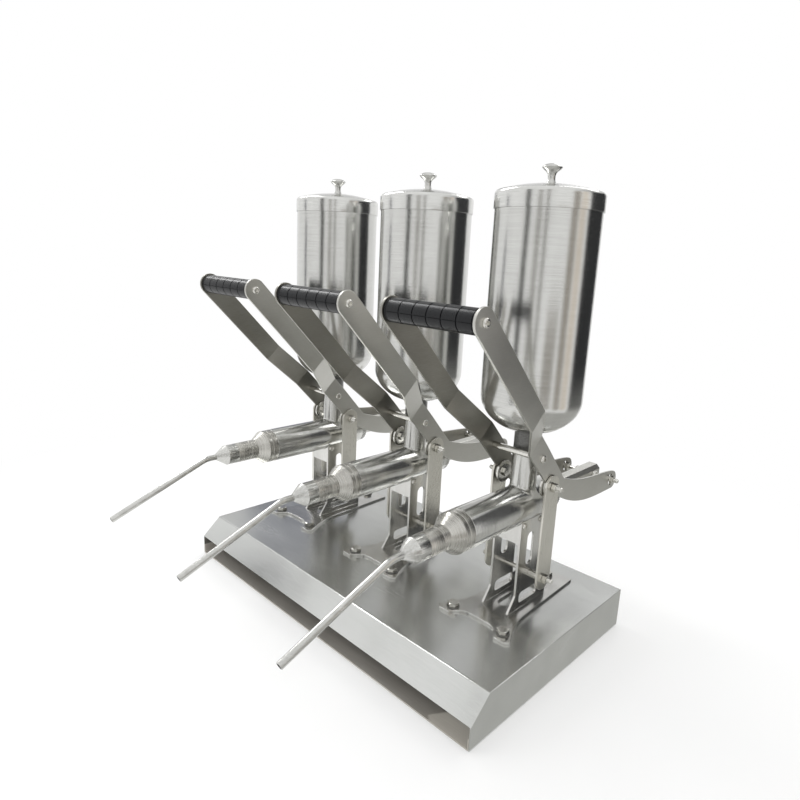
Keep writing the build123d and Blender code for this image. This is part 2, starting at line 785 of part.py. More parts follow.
    # Lever plates: bent sheet trimmed to the arm and its curved horn.
    bend_angle = math.atan2(lever_upper_x - lever_lower_x, lower_bend - upper_bend)
    bend_shift = lever_sheet * math.tan(bend_angle / 2)
    lever_reach = arm_length + draw_pin_y * 2
    bent_plane = Plane(
        origin=(station_x, hopper_line_y + grip_centre.X, grip_centre.Y),
        x_dir=(0, arm_dir.X, arm_dir.Y),
        z_dir=(0, -arm_side.X, -arm_side.Y),
    )
    notch = (rocker_y + notch_back, rocker_top_z + notch_rise)
    tip = (draw_pin_y + horn_tip_reach, draw_pin_z - draw_pin_rise)
    with BuildPart() as lever_right:
        with BuildSketch(bent_plane) as bent:
            with BuildLine():
                Polyline(
                    (-arm_width, lever_upper_x),
                    (upper_bend, lever_upper_x),
                    (lower_bend, lever_lower_x),
                    (lever_reach, lever_lower_x),
                    (lever_reach, lever_outer_x),
                    (lower_bend + bend_shift, lever_outer_x),
                    (upper_bend + bend_shift, lever_upper_x + lever_sheet),
                    (-arm_width, lever_upper_x + lever_sheet),
                    close=True,
                )
            make_face()
            spots = bent.vertices().sort_by(Axis.X)
            fillet(spots[2], radius=lever_bend_r)
            fillet(bent.vertices().sort_by_distance((upper_bend + bend_shift, lever_upper_x + lever_sheet))[0],
                   radius=lever_bend_r + lever_sheet)
            fillet(bent.vertices().sort_by_distance((lower_bend, lever_lower_x))[0],
                   radius=lever_bend_r + lever_sheet)
            fillet(bent.vertices().sort_by_distance((lower_bend + bend_shift, lever_outer_x))[0],
                   radius=lever_bend_r)
        extrude(amount=lever_reach / 2, both=True)
        with BuildSketch(side_plane(station_x)) as outline:
            with BuildLine():
                tip_low = (tip[0], tip[1] - horn_tip_r)
                tip_high = (
                    tip[0] + horn_tip_r * math.sin(math.radians(12)),
                    tip[1] + horn_tip_r * math.cos(math.radians(12)),
                )
                Line(arm_point(0, -arm_width / 2), arm_point(horn_start, -arm_width / 2))
                Spline(
                    arm_point(horn_start, -arm_width / 2),
                    (draw_pin_y - belly_back, draw_pin_z - belly_drop),
                    tip_low,
                    tangents=((arm_dir.X, arm_dir.Y), (1, 0)),
                )
                Line(tip_low, tip_high)
                Spline(
                    tip_high,
                    (draw_pin_y - crest_back, draw_pin_z + crest_rise),
                    notch,
                    tangents=((-1, 0.21), (-1, 0.32)),
                )
                Polyline(
                    notch,
                    arm_point(lower_bend + arm_width, arm_width / 2),
                    arm_point(0, arm_width / 2),
                    arm_point(0, -arm_width / 2),
                )
            make_face()
            with Locations((grip_centre.X, grip_centre.Y)):
                Circle(arm_width / 2)
            with Locations(tip):
                Circle(horn_tip_r)
            with Locations((rocker_y, rocker_top_z)):
                Circle(pivot_lobe_r)
            fillet(outline.vertices().sort_by_distance(notch)[0], radius=notch_r)
            with Locations((rocker_y, rocker_top_z)):
                Circle(bolt_r + bolt_fit, mode=Mode.SUBTRACT)
            with Locations((grip_centre.X, grip_centre.Y), (cross_rod.X, cross_rod.Y)):
                Circle(dome_screw_r + bolt_fit, mode=Mode.SUBTRACT)
            with Locations((draw_pin_y, draw_pin_z)):
                SlotOverall(draw_slot_height, draw_slot_width, rotation=90, mode=Mode.SUBTRACT)
        extrude(amount=lever_upper_x + 2 * lever_sheet, mode=Mode.INTERSECT)
    keep(lever_right, name + "_lever_plate_right")

    with BuildPart() as lever_left:
        mirror(lever_right.part, about=middle_plane)
    keep(lever_left, name + "_lever_plate_left")

    # Grip: a moulded sleeve with shallow rings.
    grip_half = lever_upper_x - bolt_fit
    with BuildPart() as grip:
        with BuildSketch(side_plane(station_x - grip_half)):
            with Locations((grip_centre.X, grip_centre.Y)):
                Circle(grip_r)
                Circle(cross_rod_r + bolt_fit, mode=Mode.SUBTRACT)
        extrude(amount=2 * grip_half)
        chamfer(grip.faces().filter_by(Axis.X).edges().group_by(SortBy.RADIUS)[-1], length=1)
        for place_x in range(groove_count):
            groove_x = grip_half * ((2 * place_x + 1) / groove_count - 1)
            with BuildSketch(side_plane(station_x + groove_x - groove_width / 2)):
                with Locations((grip_centre.X, grip_centre.Y)):
                    Circle(grip_r + 1)
                    Circle(grip_r - groove_depth, mode=Mode.SUBTRACT)
            extrude(amount=groove_width, mode=Mode.SUBTRACT)
    keep(grip, name + "_grip")

    # Grip rod and cross rod, each held by a dome screw through both plates.
    with BuildPart() as lever_rods:
        for centre, inner_x in ((grip_centre, lever_upper_x), (cross_rod, lever_lower_x)):
            half = inner_x - seat_gap
            with BuildSketch(side_plane(station_x - half)):
                with Locations((centre.X, centre.Y)):
                    Circle(cross_rod_r)
            extrude(amount=2 * half)
            for start_x in (-half, half - rod_thread_depth):
                with BuildSketch(side_plane(station_x + start_x)):
                    with Locations((centre.X, centre.Y)):
                        Circle(dome_screw_r + thread_fit)
                extrude(amount=rod_thread_depth, mode=Mode.SUBTRACT)
        for centre, inner_x in ((grip_centre, lever_upper_x), (cross_rod, lever_lower_x)):
            head_x = inner_x + lever_sheet + seat_gap
            for hand in (-1, 1):
                with BuildSketch(front_plane(station_x, centre.X)):
                    with BuildLine():
                        Polyline(
                            (hand * head_x, centre.Y + dome_head_r),
                            (hand * head_x, centre.Y + dome_screw_r),
                            (hand * (inner_x - rod_thread_depth + 2), centre.Y + dome_screw_r),
                            (hand * (inner_x - rod_thread_depth + 2), centre.Y),
                            (hand * (head_x + dome_head_height), centre.Y),
                        )
                        Spline(
                            (hand * (head_x + dome_head_height), centre.Y),
                            (hand * head_x, centre.Y + dome_head_r),
                            tangents=((0, 1), (-hand, 0.3)),
                        )
                    make_face()
                revolve(axis=Axis((station_x, hopper_line_y + centre.X, centre.Y), (1, 0, 0)))
    keep(lever_rods, name + "_lever_rods")

    # Rocker links: flat bars that swing outside the lever plates.
    with BuildPart() as rocker_links:
        with BuildSketch(side_plane(station_x + link_inner_x)):
            with Locations((rocker_y, (rocker_low_z + rocker_top_z) / 2)):
                SlotCenterToCenter(rocker_length, link_width, rotation=90)
            with Locations((rocker_y, rocker_low_z), (rocker_y, rocker_top_z)):
                Circle(bolt_r + bolt_fit, mode=Mode.SUBTRACT)
        extrude(amount=link_sheet)
        mirror(about=middle_plane)
    keep(rocker_links, name + "_rocker_links")

    # Upper pivots: bolt, backing disc inside the lever plate, nut outside.
    disc_x = lever_lower_x - face_gap - pivot_disc
    head_x = disc_x - seat_gap - pivot_head
    with BuildPart() as rocker_pivot_bolts:
        with BuildSketch(side_plane(station_x + head_x)):
            with Locations((rocker_y, rocker_top_z)):
                RegularPolygon(radius=nut_flats / 2, side_count=6, major_radius=False)
        extrude(amount=pivot_head)
        with BuildSketch(side_plane(station_x + head_x)):
            with Locations((rocker_y, rocker_top_z)):
                Circle(bolt_r)
        extrude(amount=pivot_bolt_end - head_x)
        with BuildSketch(side_plane(station_x + disc_x)):
            with Locations((rocker_y, rocker_top_z)):
                Circle(pivot_disc_r)
                Circle(bolt_r + thread_fit, mode=Mode.SUBTRACT)
        extrude(amount=pivot_disc)
        with BuildSketch(side_plane(station_x + link_outer_x + face_gap)):
            with Locations((rocker_y, rocker_top_z)):
                RegularPolygon(radius=nut_flats / 2, side_count=6, major_radius=False)
                Circle(bolt_r + thread_fit, mode=Mode.SUBTRACT)
        extrude(amount=nut_height)
        mirror(about=middle_plane)
    keep(rocker_pivot_bolts, name + "_rocker_pivot_bolts")
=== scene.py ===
import bpy
import bmesh
import math
from mathutils import Matrix, Vector


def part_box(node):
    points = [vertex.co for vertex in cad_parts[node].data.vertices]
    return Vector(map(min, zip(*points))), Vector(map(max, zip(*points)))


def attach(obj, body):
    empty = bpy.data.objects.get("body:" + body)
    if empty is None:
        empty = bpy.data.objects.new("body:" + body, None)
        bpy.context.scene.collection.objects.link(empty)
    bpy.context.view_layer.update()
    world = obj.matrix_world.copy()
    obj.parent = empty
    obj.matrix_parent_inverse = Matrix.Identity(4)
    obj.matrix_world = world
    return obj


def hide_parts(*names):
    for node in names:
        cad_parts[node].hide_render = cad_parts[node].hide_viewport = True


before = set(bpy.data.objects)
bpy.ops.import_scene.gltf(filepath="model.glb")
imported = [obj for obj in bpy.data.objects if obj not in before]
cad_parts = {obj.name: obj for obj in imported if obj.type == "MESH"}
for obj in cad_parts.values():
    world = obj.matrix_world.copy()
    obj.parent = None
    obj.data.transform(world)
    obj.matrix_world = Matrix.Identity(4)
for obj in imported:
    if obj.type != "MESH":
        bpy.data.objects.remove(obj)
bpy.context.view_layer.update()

mm = 0.001
seatGap = 0.02  # between pieces that rest on each other, as in the frame, in mm
hopperLine = 27.4  # the hoppers stand this far behind the base's middle, in mm
pitch = 186.5
stations = [("left", -pitch), ("middle", 0.0), ("right", pitch)]
toRight, toLeft, toRear, upward = (1, 0, 0), (-1, 0, 0), (0, 1, 0), (0, 0, 1)
bumpDepth = 0.0002  # of every finish's grain, in metres
scene = bpy.context.scene


def addNode(tree, kind, inputs=None, **settings):
    # inputs that are sockets are linked, the others are set
    node = tree.nodes.new(kind)
    for label, value in settings.items():
        setattr(node, label, value)
    for label, value in (inputs or {}).items():
        if isinstance(value, bpy.types.NodeSocket):
            tree.links.new(value, node.inputs[label])
        else:
            node.inputs[label].default_value = value
    return node.outputs


def newMaterial(name, color, metallic, roughness):
    mat = bpy.data.materials.new(name)
    mat.use_nodes = True
    shader = mat.node_tree.nodes["Principled BSDF"]
    shader.inputs["Base Color"].default_value = (*color, 1)
    shader.inputs["Metallic"].default_value = metallic
    shader.inputs["Roughness"].default_value = roughness
    return mat, mat.node_tree, shader


def stretched(tree, scale, turn, detail, rough):
    spot = addNode(tree, "ShaderNodeTexCoord")["Object"]
    place = addNode(tree, "ShaderNodeMapping", {"Vector": spot, "Scale": scale, "Rotation": turn})
    return addNode(
        tree, "ShaderNodeTexNoise",
        {"Vector": place["Vector"], "Scale": 1.0, "Detail": detail, "Roughness": rough},
    )["Fac"]


def mapped(tree, value, low, high, fromLow=0.3, fromHigh=0.7, kind="LINEAR"):
    return addNode(
        tree, "ShaderNodeMapRange",
        {"Value": value, "From Min": fromLow, "From Max": fromHigh, "To Min": low, "To Max": high},
        interpolation_type=kind,
    )["Result"]


def tinted(tree, value, dark, light, fromLow=0.35, fromHigh=0.65):
    ramp = tree.nodes.new("ShaderNodeValToRGB")
    for stop, place, color in zip(ramp.color_ramp.elements, (fromLow, fromHigh), (dark, light)):
        stop.position = place
        stop.color = (*color, 1)
    tree.links.new(value, ramp.inputs["Fac"])
    return ramp.outputs["Color"]


def dressShader(tree, shader, look, grain, worn):
    # grain lifts the surface, worn drives the colour and the roughness
    bump = addNode(
        tree, "ShaderNodeBump", {"Strength": look["bump"], "Distance": bumpDepth, "Height": grain}
    )
    tree.links.new(tinted(tree, worn, look["dark"], look["light"]), shader.inputs["Base Color"])
    tree.links.new(mapped(tree, worn, *look["roughness"]), shader.inputs["Roughness"])
    tree.links.new(bump["Normal"], shader.inputs["Normal"])


def brushedMetal(look):
    mat, tree, shader = newMaterial(
        look["name"], look["light"], look.get("metal", 1.0), look["roughness"][1]
    )
    turn = look.get("turn", (0, 0, 0))
    fine = stretched(tree, look["grain"], turn, detail=4.0, rough=0.6)
    broad = stretched(tree, look["cloud"], turn, detail=2.0, rough=0.5)
    worn = addNode(tree, "ShaderNodeMix", {0: look["mixture"], 2: fine, 3: broad}, data_type="FLOAT")[0]
    dressShader(tree, shader, look, fine, worn)
    return mat


# dark and light are the two ends of the sheet's mottling, roughness its smoothest and dullest,
# grain and cloud how tightly the fine and the broad pattern repeat along X, Y and Z, per metre
hopperLook = {
    "name": "spun brushed steel", "dark": (0.54, 0.54, 0.52), "light": (0.66, 0.66, 0.64),
    "roughness": (0.13, 0.20), "grain": (20, 20, 2800), "cloud": (60, 60, 14),
    "bump": 0.22, "mixture": 0.3,
}
lidLook = dict(
    hopperLook, name="lid steel", dark=(0.60, 0.60, 0.58), light=(0.74, 0.74, 0.72),
    roughness=(0.15, 0.24), grain=(40, 40, 1500),
)
baseLook = {
    "name": "satin base sheet", "dark": (0.600, 0.608, 0.592), "light": (0.690, 0.698, 0.682),
    "roughness": (0.20, 0.28), "grain": (40, 1500, 1500), "cloud": (7, 16, 16),
    "bump": 0.03, "mixture": 0.6,
}
trayLook = {
    "name": "dull tray sheet", "dark": (0.52, 0.49, 0.44), "light": (0.64, 0.61, 0.56), "metal": 0.45,
    "roughness": (0.42, 0.55), "grain": (30, 900, 900), "cloud": (9, 30, 30),
    "bump": 0.04, "mixture": 0.6,
}
standLook = {
    "name": "pressed stand steel", "dark": (0.56, 0.555, 0.535), "light": (0.70, 0.695, 0.67),
    "roughness": (0.16, 0.26), "grain": (900, 900, 30), "cloud": (30, 30, 16),
    "bump": 0.04, "mixture": 0.5,
}
leverLook = {
    "name": "mill finish lever sheet", "dark": (0.54, 0.535, 0.50), "light": (0.62, 0.615, 0.58),
    "roughness": (0.33, 0.42), "grain": (1600, 120, 1600), "cloud": (40, 16, 30),
    "bump": 0.04, "mixture": 0.5, "turn": (math.radians(46), 0, 0),  # the grain follows the arm
}
# a darker copy of the lever sheet for the left plates: painted shade, standing in for the shade on their
# inner faces
leverShadeLook = dict(
    leverLook, name="mill finish inner sheet", dark=(0.27, 0.262, 0.235), light=(0.34, 0.332, 0.30),
)
linkLook = dict(
    leverLook, name="mill finish link bar", dark=(0.62, 0.605, 0.55), light=(0.72, 0.705, 0.65),
    roughness=(0.24, 0.34), grain=(1600, 1600, 120), cloud=(30, 40, 16), turn=(0, 0, 0),
)
barrelLook = {
    "name": "polished turned steel", "dark": (0.50, 0.50, 0.48), "light": (0.68, 0.68, 0.655),
    "metal": 0.92, "roughness": (0.13, 0.20), "grain": (20, 1400, 20), "cloud": (12, 60, 12),
    "bump": 0.3, "mixture": 0.4,
}
reducerLook = dict(
    barrelLook, name="lathe turned steel", dark=(0.42, 0.41, 0.38), light=(0.63, 0.62, 0.58),
    roughness=(0.23, 0.31), bump=0.5,
)
tubeLook = dict(
    barrelLook, name="drawn tube steel", metal=1.0, roughness=(0.20, 0.29), grain=(900, 20, 900),
)
boltLook = {
    "name": "bright fastener steel", "dark": (0.60, 0.59, 0.55), "light": (0.80, 0.79, 0.75),
    "roughness": (0.12, 0.24), "grain": (700, 700, 700), "cloud": (120, 120, 120),
    "bump": 0.05, "mixture": 0.5,
}
# the washers are steel darkened far below the bolts: painted shade, for the shadow ring under each bolt
# head
washerShadeLook = dict(
    boltLook, name="dull washer steel", dark=(0.16, 0.16, 0.15), light=(0.26, 0.26, 0.25),
    roughness=(0.3, 0.45),
)

spunSteel = brushedMetal(hopperLook)
lidSteel = brushedMetal(lidLook)
baseSteel = brushedMetal(baseLook)
traySteel = brushedMetal(trayLook)
standSteel = brushedMetal(standLook)
leverSteel = brushedMetal(leverLook)
leverShadeSteel = brushedMetal(leverShadeLook)
linkSteel = brushedMetal(linkLook)
turnedSteel = brushedMetal(barrelLook)
latheSteel = brushedMetal(reducerLook)
tubeSteel = brushedMetal(tubeLook)
boltSteel = brushedMetal(boltLook)
washerShadeSteel = brushedMetal(washerShadeLook)


def softPlastic(look):
    look = dict(look, light=tuple(c * 1.6 + 0.001 for c in look["dark"]))
    mat, tree, shader = newMaterial(look["name"], look["dark"], 0.0, look["roughness"][1])
    shader.inputs["Specular IOR Level"].default_value = look["shine"]
    fine = stretched(tree, (look["speckle"],) * 3, (0, 0, 0), detail=3.0, rough=0.6)
    dressShader(tree, shader, look, fine, fine)
    return mat


gripLook = {
    "name": "black grip plastic", "dark": (0.003, 0.0035, 0.0045), "roughness": (0.25, 0.36),
    "speckle": 900, "shine": 0.32, "bump": 0.12,
}
collarLook = dict(
    gripLook, name="dark collar rubber", dark=(0.14, 0.14, 0.133), roughness=(0.12, 0.2),
    speckle=700, shine=0.5,
)
sealLook = dict(collarLook, name="seal rubber", dark=(0.03, 0.03, 0.03), roughness=(0.5, 0.7), speckle=600)

gripBlack = softPlastic(gripLook)
collarBlack = softPlastic(collarLook)
sealBlack = softPlastic(sealLook)
print("finishes ready")


def newObject(name, data):
    piece = bpy.data.objects.new(name, data)
    scene.collection.objects.link(piece)
    return piece


def makePiece(name, mesh, material, body, replaced, angle=32):
    # edges that turn by more than the angle, in degrees, stay sharp
    mesh.shade_smooth()
    mesh.set_sharp_from_angle(angle=math.radians(angle))
    dressPiece(name, mesh, material, body, replaced)


def dressPiece(name, mesh, material, body, replaced):
    mesh.materials.clear()
    mesh.materials.append(material)
    piece = newObject(name, mesh)
    if replaced:
        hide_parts(*replaced)
    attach(piece, body)


def meshFrom(name, bm):
    bmesh.ops.remove_doubles(bm, verts=bm.verts, dist=1e-7)
    bmesh.ops.recalc_face_normals(bm, faces=bm.faces)
    mesh = bpy.data.meshes.new(name)
    bm.to_mesh(mesh)
    bm.free()
    return mesh


def softened(profile, radius, closed):
    # turns each sharp corner of a turned profile into a small arc
    leastBend = math.radians(18)
    steps = 3
    out = []
    count = len(profile)
    for i, here in enumerate(profile):
        spot = Vector(here)
        back = Vector(profile[i - 1]) - spot
        ahead = Vector(profile[(i + 1) % count]) - spot
        atEnd = not closed and i in (0, count - 1)
        if atEnd or back.length < 1e-9 or ahead.length < 1e-9:
            out.append(here)
            continue
        bend = math.pi - back.angle(ahead)
        if bend < leastBend:
            out.append(here)
            continue
        cut = min(radius * math.tan(bend / 2), back.length * 0.4, ahead.length * 0.4)
        first = spot + back.normalized() * cut
        last = spot + ahead.normalized() * cut
        for k in range(steps + 1):
            t = k / steps
            point = first * (1 - t) ** 2 + spot * 2 * t * (1 - t) + last * t ** 2
            out.append((point.x, point.y))
    return out


def turnedInto(bm, profile, place, axis, steps=96, closed=True, softness=0.35):
    # profile is (radius, distance along the axis) in mm, and softness the radius of its corners
    if softness:
        profile = softened(profile, softness, closed)
    along = Vector(axis).normalized()
    side = along.orthogonal().normalized()
    other = along.cross(side)
    rings = []
    for radius, height in profile:
        centre = Vector(place) + along * height
        if radius < 1e-6:
            rings.append([bm.verts.new(centre * mm)])
            continue
        ring = []
        for k in range(steps):
            turn = math.tau * k / steps
            out = side * math.cos(turn) + other * math.sin(turn)
            ring.append(bm.verts.new((centre + out * radius) * mm))
        rings.append(ring)
    pairs = list(zip(rings, rings[1:]))
    if closed:
        pairs.append((rings[-1], rings[0]))
    for a, b in pairs:
        if len(a) == 1 and len(b) == 1:
            continue
        for k in range(steps):
            n = (k + 1) % steps
            if len(a) == 1:
                bm.faces.new((a[0], b[k], b[n]))
            elif len(b) == 1:
                bm.faces.new((a[k], b[0], a[n]))
            else:
                bm.faces.new((a[k], b[k], b[n], a[n]))


def turned(name, profile, place, axis, steps=96, closed=True, softness=0.35):
    bm = bmesh.new()
    turnedInto(bm, profile, place, axis, steps, closed, softness)
    return meshFrom(name, bm)


def arcPoints(centre, radiusX, radiusY, start, end, steps):
    out = []
    for k in range(steps + 1):
        turn = math.radians(start + (end - start) * k / steps)
        out.append((centre[0] + radiusX * math.cos(turn), centre[1] + radiusY * math.sin(turn)))
    return out


edging = {
    "merge": 2e-6,  # metres, for points that are one
    "flat": 0.4,  # degrees, under which faces are one
    "sharp": 30.0,  # degrees, over which an edge is rolled
    "smooth": 24.0,  # degrees, up to which a curved wall is shaded smooth
    "steps": 2, "bendSteps": 5,
}


def rolledEdges(bm, strip, edges, width, steps):
    made = bmesh.ops.bevel(
        bm, geom=edges, offset=width * mm, segments=steps, profile=0.5, affect="EDGES", clamp_overlap=False,
    )
    for face in made["faces"]:
        face[strip] = 1


def merged(bm):
    bmesh.ops.remove_doubles(bm, verts=bm.verts, dist=edging["merge"])


def edgedCopy(name, node, material, body, edge, isBend=None, bend=0.0):
    # the CAD piece with its sharp edges broken, so that they catch the light, and its folds rounded
    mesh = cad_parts[node].data.copy()
    bm = bmesh.new()
    bm.from_mesh(mesh)
    merged(bm)
    bmesh.ops.dissolve_limit(bm, angle_limit=math.radians(edging["flat"]), verts=bm.verts, edges=bm.edges)
    bmesh.ops.dissolve_degenerate(bm, edges=bm.edges, dist=edging["merge"])
    strip = bm.faces.layers.int.new("strip")
    if isBend:
        rolledEdges(bm, strip, [e for e in bm.edges if isBend(e)], bend, edging["bendSteps"])
    corners = [
        e for e in bm.edges
        if len(e.link_faces) == 2 and not any(f[strip] for f in e.link_faces)
        and e.calc_face_angle(0) > math.radians(edging["sharp"])
    ]
    rolledEdges(bm, strip, corners, edge, edging["steps"])
    merged(bm)
    bmesh.ops.dissolve_degenerate(bm, edges=bm.edges, dist=edging["merge"])
    # flat faces stay flat: only a rolled edge is smooth across
    for e in bm.edges:
        rolled = [f[strip] for f in e.link_faces]
        curved = not any(rolled) and e.calc_face_angle(0) < math.radians(edging["smooth"])
        e.smooth = len(rolled) == 2 and (all(rolled) or curved)
    for face in bm.faces:
        face.smooth = True
    bm.faces.layers.int.remove(strip)
    bmesh.ops.triangulate(bm, faces=[f for f in bm.faces if len(f.verts) > 4])
    bm.to_mesh(mesh)
    bm.free()
    dressPiece(name, mesh, material, body, [node])


def newTree(name, sockets):
    tree = bpy.data.node_groups.new(name, "GeometryNodeTree")
    tree.interface.new_socket("Geometry", in_out="INPUT", socket_type="NodeSocketGeometry")
    tree.interface.new_socket("Geometry", in_out="OUTPUT", socket_type="NodeSocketGeometry")
    for label, kind, value in sockets:
        item = tree.interface.new_socket(label, in_out="INPUT", socket_type=kind)
        if value is not None:
            item.default_value = value
    return tree, addNode(tree, "NodeGroupInput"), tree.nodes.new("NodeGroupOutput")


def calc(tree, operation, *values):
    return addNode(tree, "ShaderNodeMath", dict(enumerate(values)), operation=operation)[0]


def realized(tree, instances, finish, groupOut):
    # both trees end here: the copies become a plain mesh under one finish
    real = addNode(tree, "GeometryNodeRealizeInstances", {"Geometry": instances})
    paint = addNode(tree, "GeometryNodeSetMaterial", {"Geometry": real["Geometry"], "Material": finish})
    tree.links.new(paint["Geometry"], groupOut.inputs["Geometry"])
    return tree


def copiesTree():
    # puts one prototype on every point of the host mesh, its top turned the way the point faces
    tree, given, groupOut = newTree(
        "copies at points",
        [("Prototype", "NodeSocketObject", None), ("Finish", "NodeSocketMaterial", None)],
    )
    fetch = addNode(tree, "GeometryNodeObjectInfo", {"Object": given["Prototype"]})
    facing = addNode(tree, "GeometryNodeInputNamedAttribute", {"Name": "facing"}, data_type="FLOAT_VECTOR")
    aim = addNode(tree, "FunctionNodeAlignRotationToVector", {"Vector": facing["Attribute"]}, axis="Z")
    place = addNode(tree, "GeometryNodeInstanceOnPoints", {
        "Points": given["Geometry"], "Instance": fetch["Geometry"], "Rotation": aim["Rotation"],
    })
    return realized(tree, place["Instances"], given["Finish"], groupOut)


def wrappedTree():
    # rows of small pads wrapped round a sleeve that lies along X
    tree, given, groupOut = newTree(
        "pads round a sleeve",
        [
            ("Rows", "NodeSocketInt", 8),
            ("Around", "NodeSocketInt", 10),
            ("Length", "NodeSocketFloat", 0.1),
            ("Radius", "NodeSocketFloat", 0.012),
            ("Pad Length", "NodeSocketFloat", 0.01),
            ("Pad Width", "NodeSocketFloat", 0.006),
            ("Pad Height", "NodeSocketFloat", 0.001),
            ("Stagger", "NodeSocketFloat", 0.5),
            ("Finish", "NodeSocketMaterial", None),
        ],
    )
    around = given["Around"]
    count = calc(tree, "MULTIPLY", given["Rows"], around)
    points = addNode(tree, "GeometryNodeMeshLine", {"Count": count})
    index = addNode(tree, "GeometryNodeInputIndex")[0]
    row = calc(tree, "FLOOR", calc(tree, "DIVIDE", index, around))
    column = calc(tree, "SUBTRACT", index, calc(tree, "MULTIPLY", row, around))
    shift = calc(tree, "MULTIPLY", calc(tree, "MODULO", row, 2.0), given["Stagger"])  # every other row
    share = calc(tree, "DIVIDE", calc(tree, "ADD", column, shift), around)
    angle = calc(tree, "MULTIPLY", share, math.tau)
    step = calc(tree, "DIVIDE", given["Length"], given["Rows"])
    fromEnd = calc(tree, "MULTIPLY", calc(tree, "ADD", row, 0.5), step)
    spot = addNode(tree, "ShaderNodeCombineXYZ", {
        "X": calc(tree, "SUBTRACT", fromEnd, calc(tree, "MULTIPLY", given["Length"], 0.5)),
        "Y": calc(tree, "MULTIPLY", calc(tree, "COSINE", angle), given["Radius"]),
        "Z": calc(tree, "MULTIPLY", calc(tree, "SINE", angle), given["Radius"]),
    })[0]
    spin = addNode(tree, "ShaderNodeCombineXYZ", {"X": calc(tree, "SUBTRACT", angle, math.pi / 2)})[0]
    size = addNode(tree, "ShaderNodeCombineXYZ", {
        "X": given["Pad Length"], "Y": given["Pad Width"], "Z": given["Pad Height"],
    })[0]
    move = addNode(tree, "GeometryNodeSetPosition", {"Geometry": points["Mesh"], "Position": spot})
    pad = addNode(tree, "GeometryNodeMeshCube", {"Size": size})
    place = addNode(tree, "GeometryNodeInstanceOnPoints", {
        "Points": move["Geometry"], "Instance": pad["Mesh"], "Rotation": spin,
    })
    return realized(tree, place["Instances"], given["Finish"], groupOut)


copies = copiesTree()
pads = wrappedTree()


def bakeTree(tree, mesh, values):
    # runs the tree on the mesh and returns the plain mesh it makes
    host = newObject("host", mesh)
    modifier = host.modifiers.new("repeat", "NODES")
    modifier.node_group = tree
    ids = {item.name: item.identifier for item in tree.interface.items_tree if item.in_out == "INPUT"}
    for label, value in values.items():
        modifier[ids[label]] = value
    bpy.context.view_layer.update()
    evaluated = host.evaluated_get(bpy.context.evaluated_depsgraph_get())
    made = bpy.data.meshes.new_from_object(evaluated)
    bpy.data.objects.remove(host)
    bpy.data.meshes.remove(mesh)
    return made


def copiesAt(prototype, spots):
    # spots are (x, y, z, direction) in mm, y from the hopper line
    points = bpy.data.meshes.new("spots")
    points.from_pydata([Vector((x, y + hopperLine, z)) * mm for x, y, z, way in spots], [], [])
    facing = points.attributes.new("facing", "FLOAT_VECTOR", "POINT")
    for index, spot in enumerate(spots):
        facing.data[index].vector = spot[3]
    return bakeTree(copies, points, {"Prototype": prototype, "Finish": boltSteel})


def padsRound(values):
    seed = bpy.data.meshes.new("seed")
    seed.from_pydata([(0, 0, 0)], [], [])
    return bakeTree(pads, seed, values)


def joined(name, meshes):
    bm = bmesh.new()
    for mesh in meshes:
        bm.from_mesh(mesh)
        bpy.data.meshes.remove(mesh)
    mesh = bpy.data.meshes.new(name)
    bm.to_mesh(mesh)
    bm.free()
    return mesh


def fastenerPiece(name, parts, body, node):
    makePiece(name, joined(name, parts), boltSteel, body, [node], angle=20)


print("node trees ready")


fastener = {
    "sides": 48, "inscribed": 0.985,  # share of the flats that a chamfer leaves
    "flats": 10.0, "nutHeight": 5.0, "boreRadius": 3.02, "pivotHead": 3.2,
    "footFlats": 13.0, "footHead": 4.6, "washerRadius": 8.2, "washerBore": 3.3, "washer": 1.2,
    "threadRadius": 3.0, "threadDepth": 0.32, "threadPitch": 1.0, "tip": 2.3, "runIn": 0.6,
    "domeEdge": 0.22,  # share of a dome's height that is straight
    "domeRadius": 5.0, "domeHeight": 3.2, "key": 2.1, "keyDepth": 2.2, "domeShank": 2.5,
    "smallDomeRadius": 4.0, "smallDomeHeight": 2.4, "smallKey": 1.3, "smallKeyDepth": 1.1,
}


def band(inner, outer, low, high):
    # profile of a plain ring, or of a rod where inner is 0
    return [(inner, low), (outer, low), (outer, high), (inner, high)]


def columnsInto(bm, columns, closed):
    # walls between each column of points and the next, all the way round
    for k, a in enumerate(columns):
        b = columns[(k + 1) % len(columns)]
        for j in range(len(a) if closed else len(a) - 1):
            n = (j + 1) % len(a)
            bm.faces.new((a[j], b[j], b[n], a[n]))


def columnMesh(name, columns, closed):
    # columns are (angle, its points as radius and height in mm)
    bm = bmesh.new()
    made = [
        [bm.verts.new(Vector((r * math.cos(turn), r * math.sin(turn), z)) * mm) for r, z in column]
        for turn, column in columns
    ]
    columnsInto(bm, made, closed)
    bmesh.ops.remove_doubles(bm, verts=bm.verts, dist=1e-7)
    bmesh.ops.dissolve_degenerate(bm, edges=bm.edges, dist=1e-8)
    return meshFrom(name, bm)


def hexRadius(turn, flats):
    return flats / 2 / math.cos((turn + math.pi / 6) % (math.pi / 3) - math.pi / 6)


def hexBody(name, flats, height, bore, bothEnds=True):
    # chamfered hexagon standing on z = 0, with or without a bore
    inscribed = flats / 2 * fastener["inscribed"]
    columns = []
    for k in range(fastener["sides"]):
        turn = math.tau * k / fastener["sides"]
        full = hexRadius(turn, flats)
        drop = (full - inscribed) * 0.5
        foot = [(inscribed, 0.0), (full, drop + 0.01)] if bothEnds else [(full, 0.0), (full, 0.01)]
        column = [(bore, 0.0)] + foot + [(full, height - drop), (inscribed, height), (bore, height)]
        columns.append((turn, column))
    return columnMesh(name, columns, bool(bore))


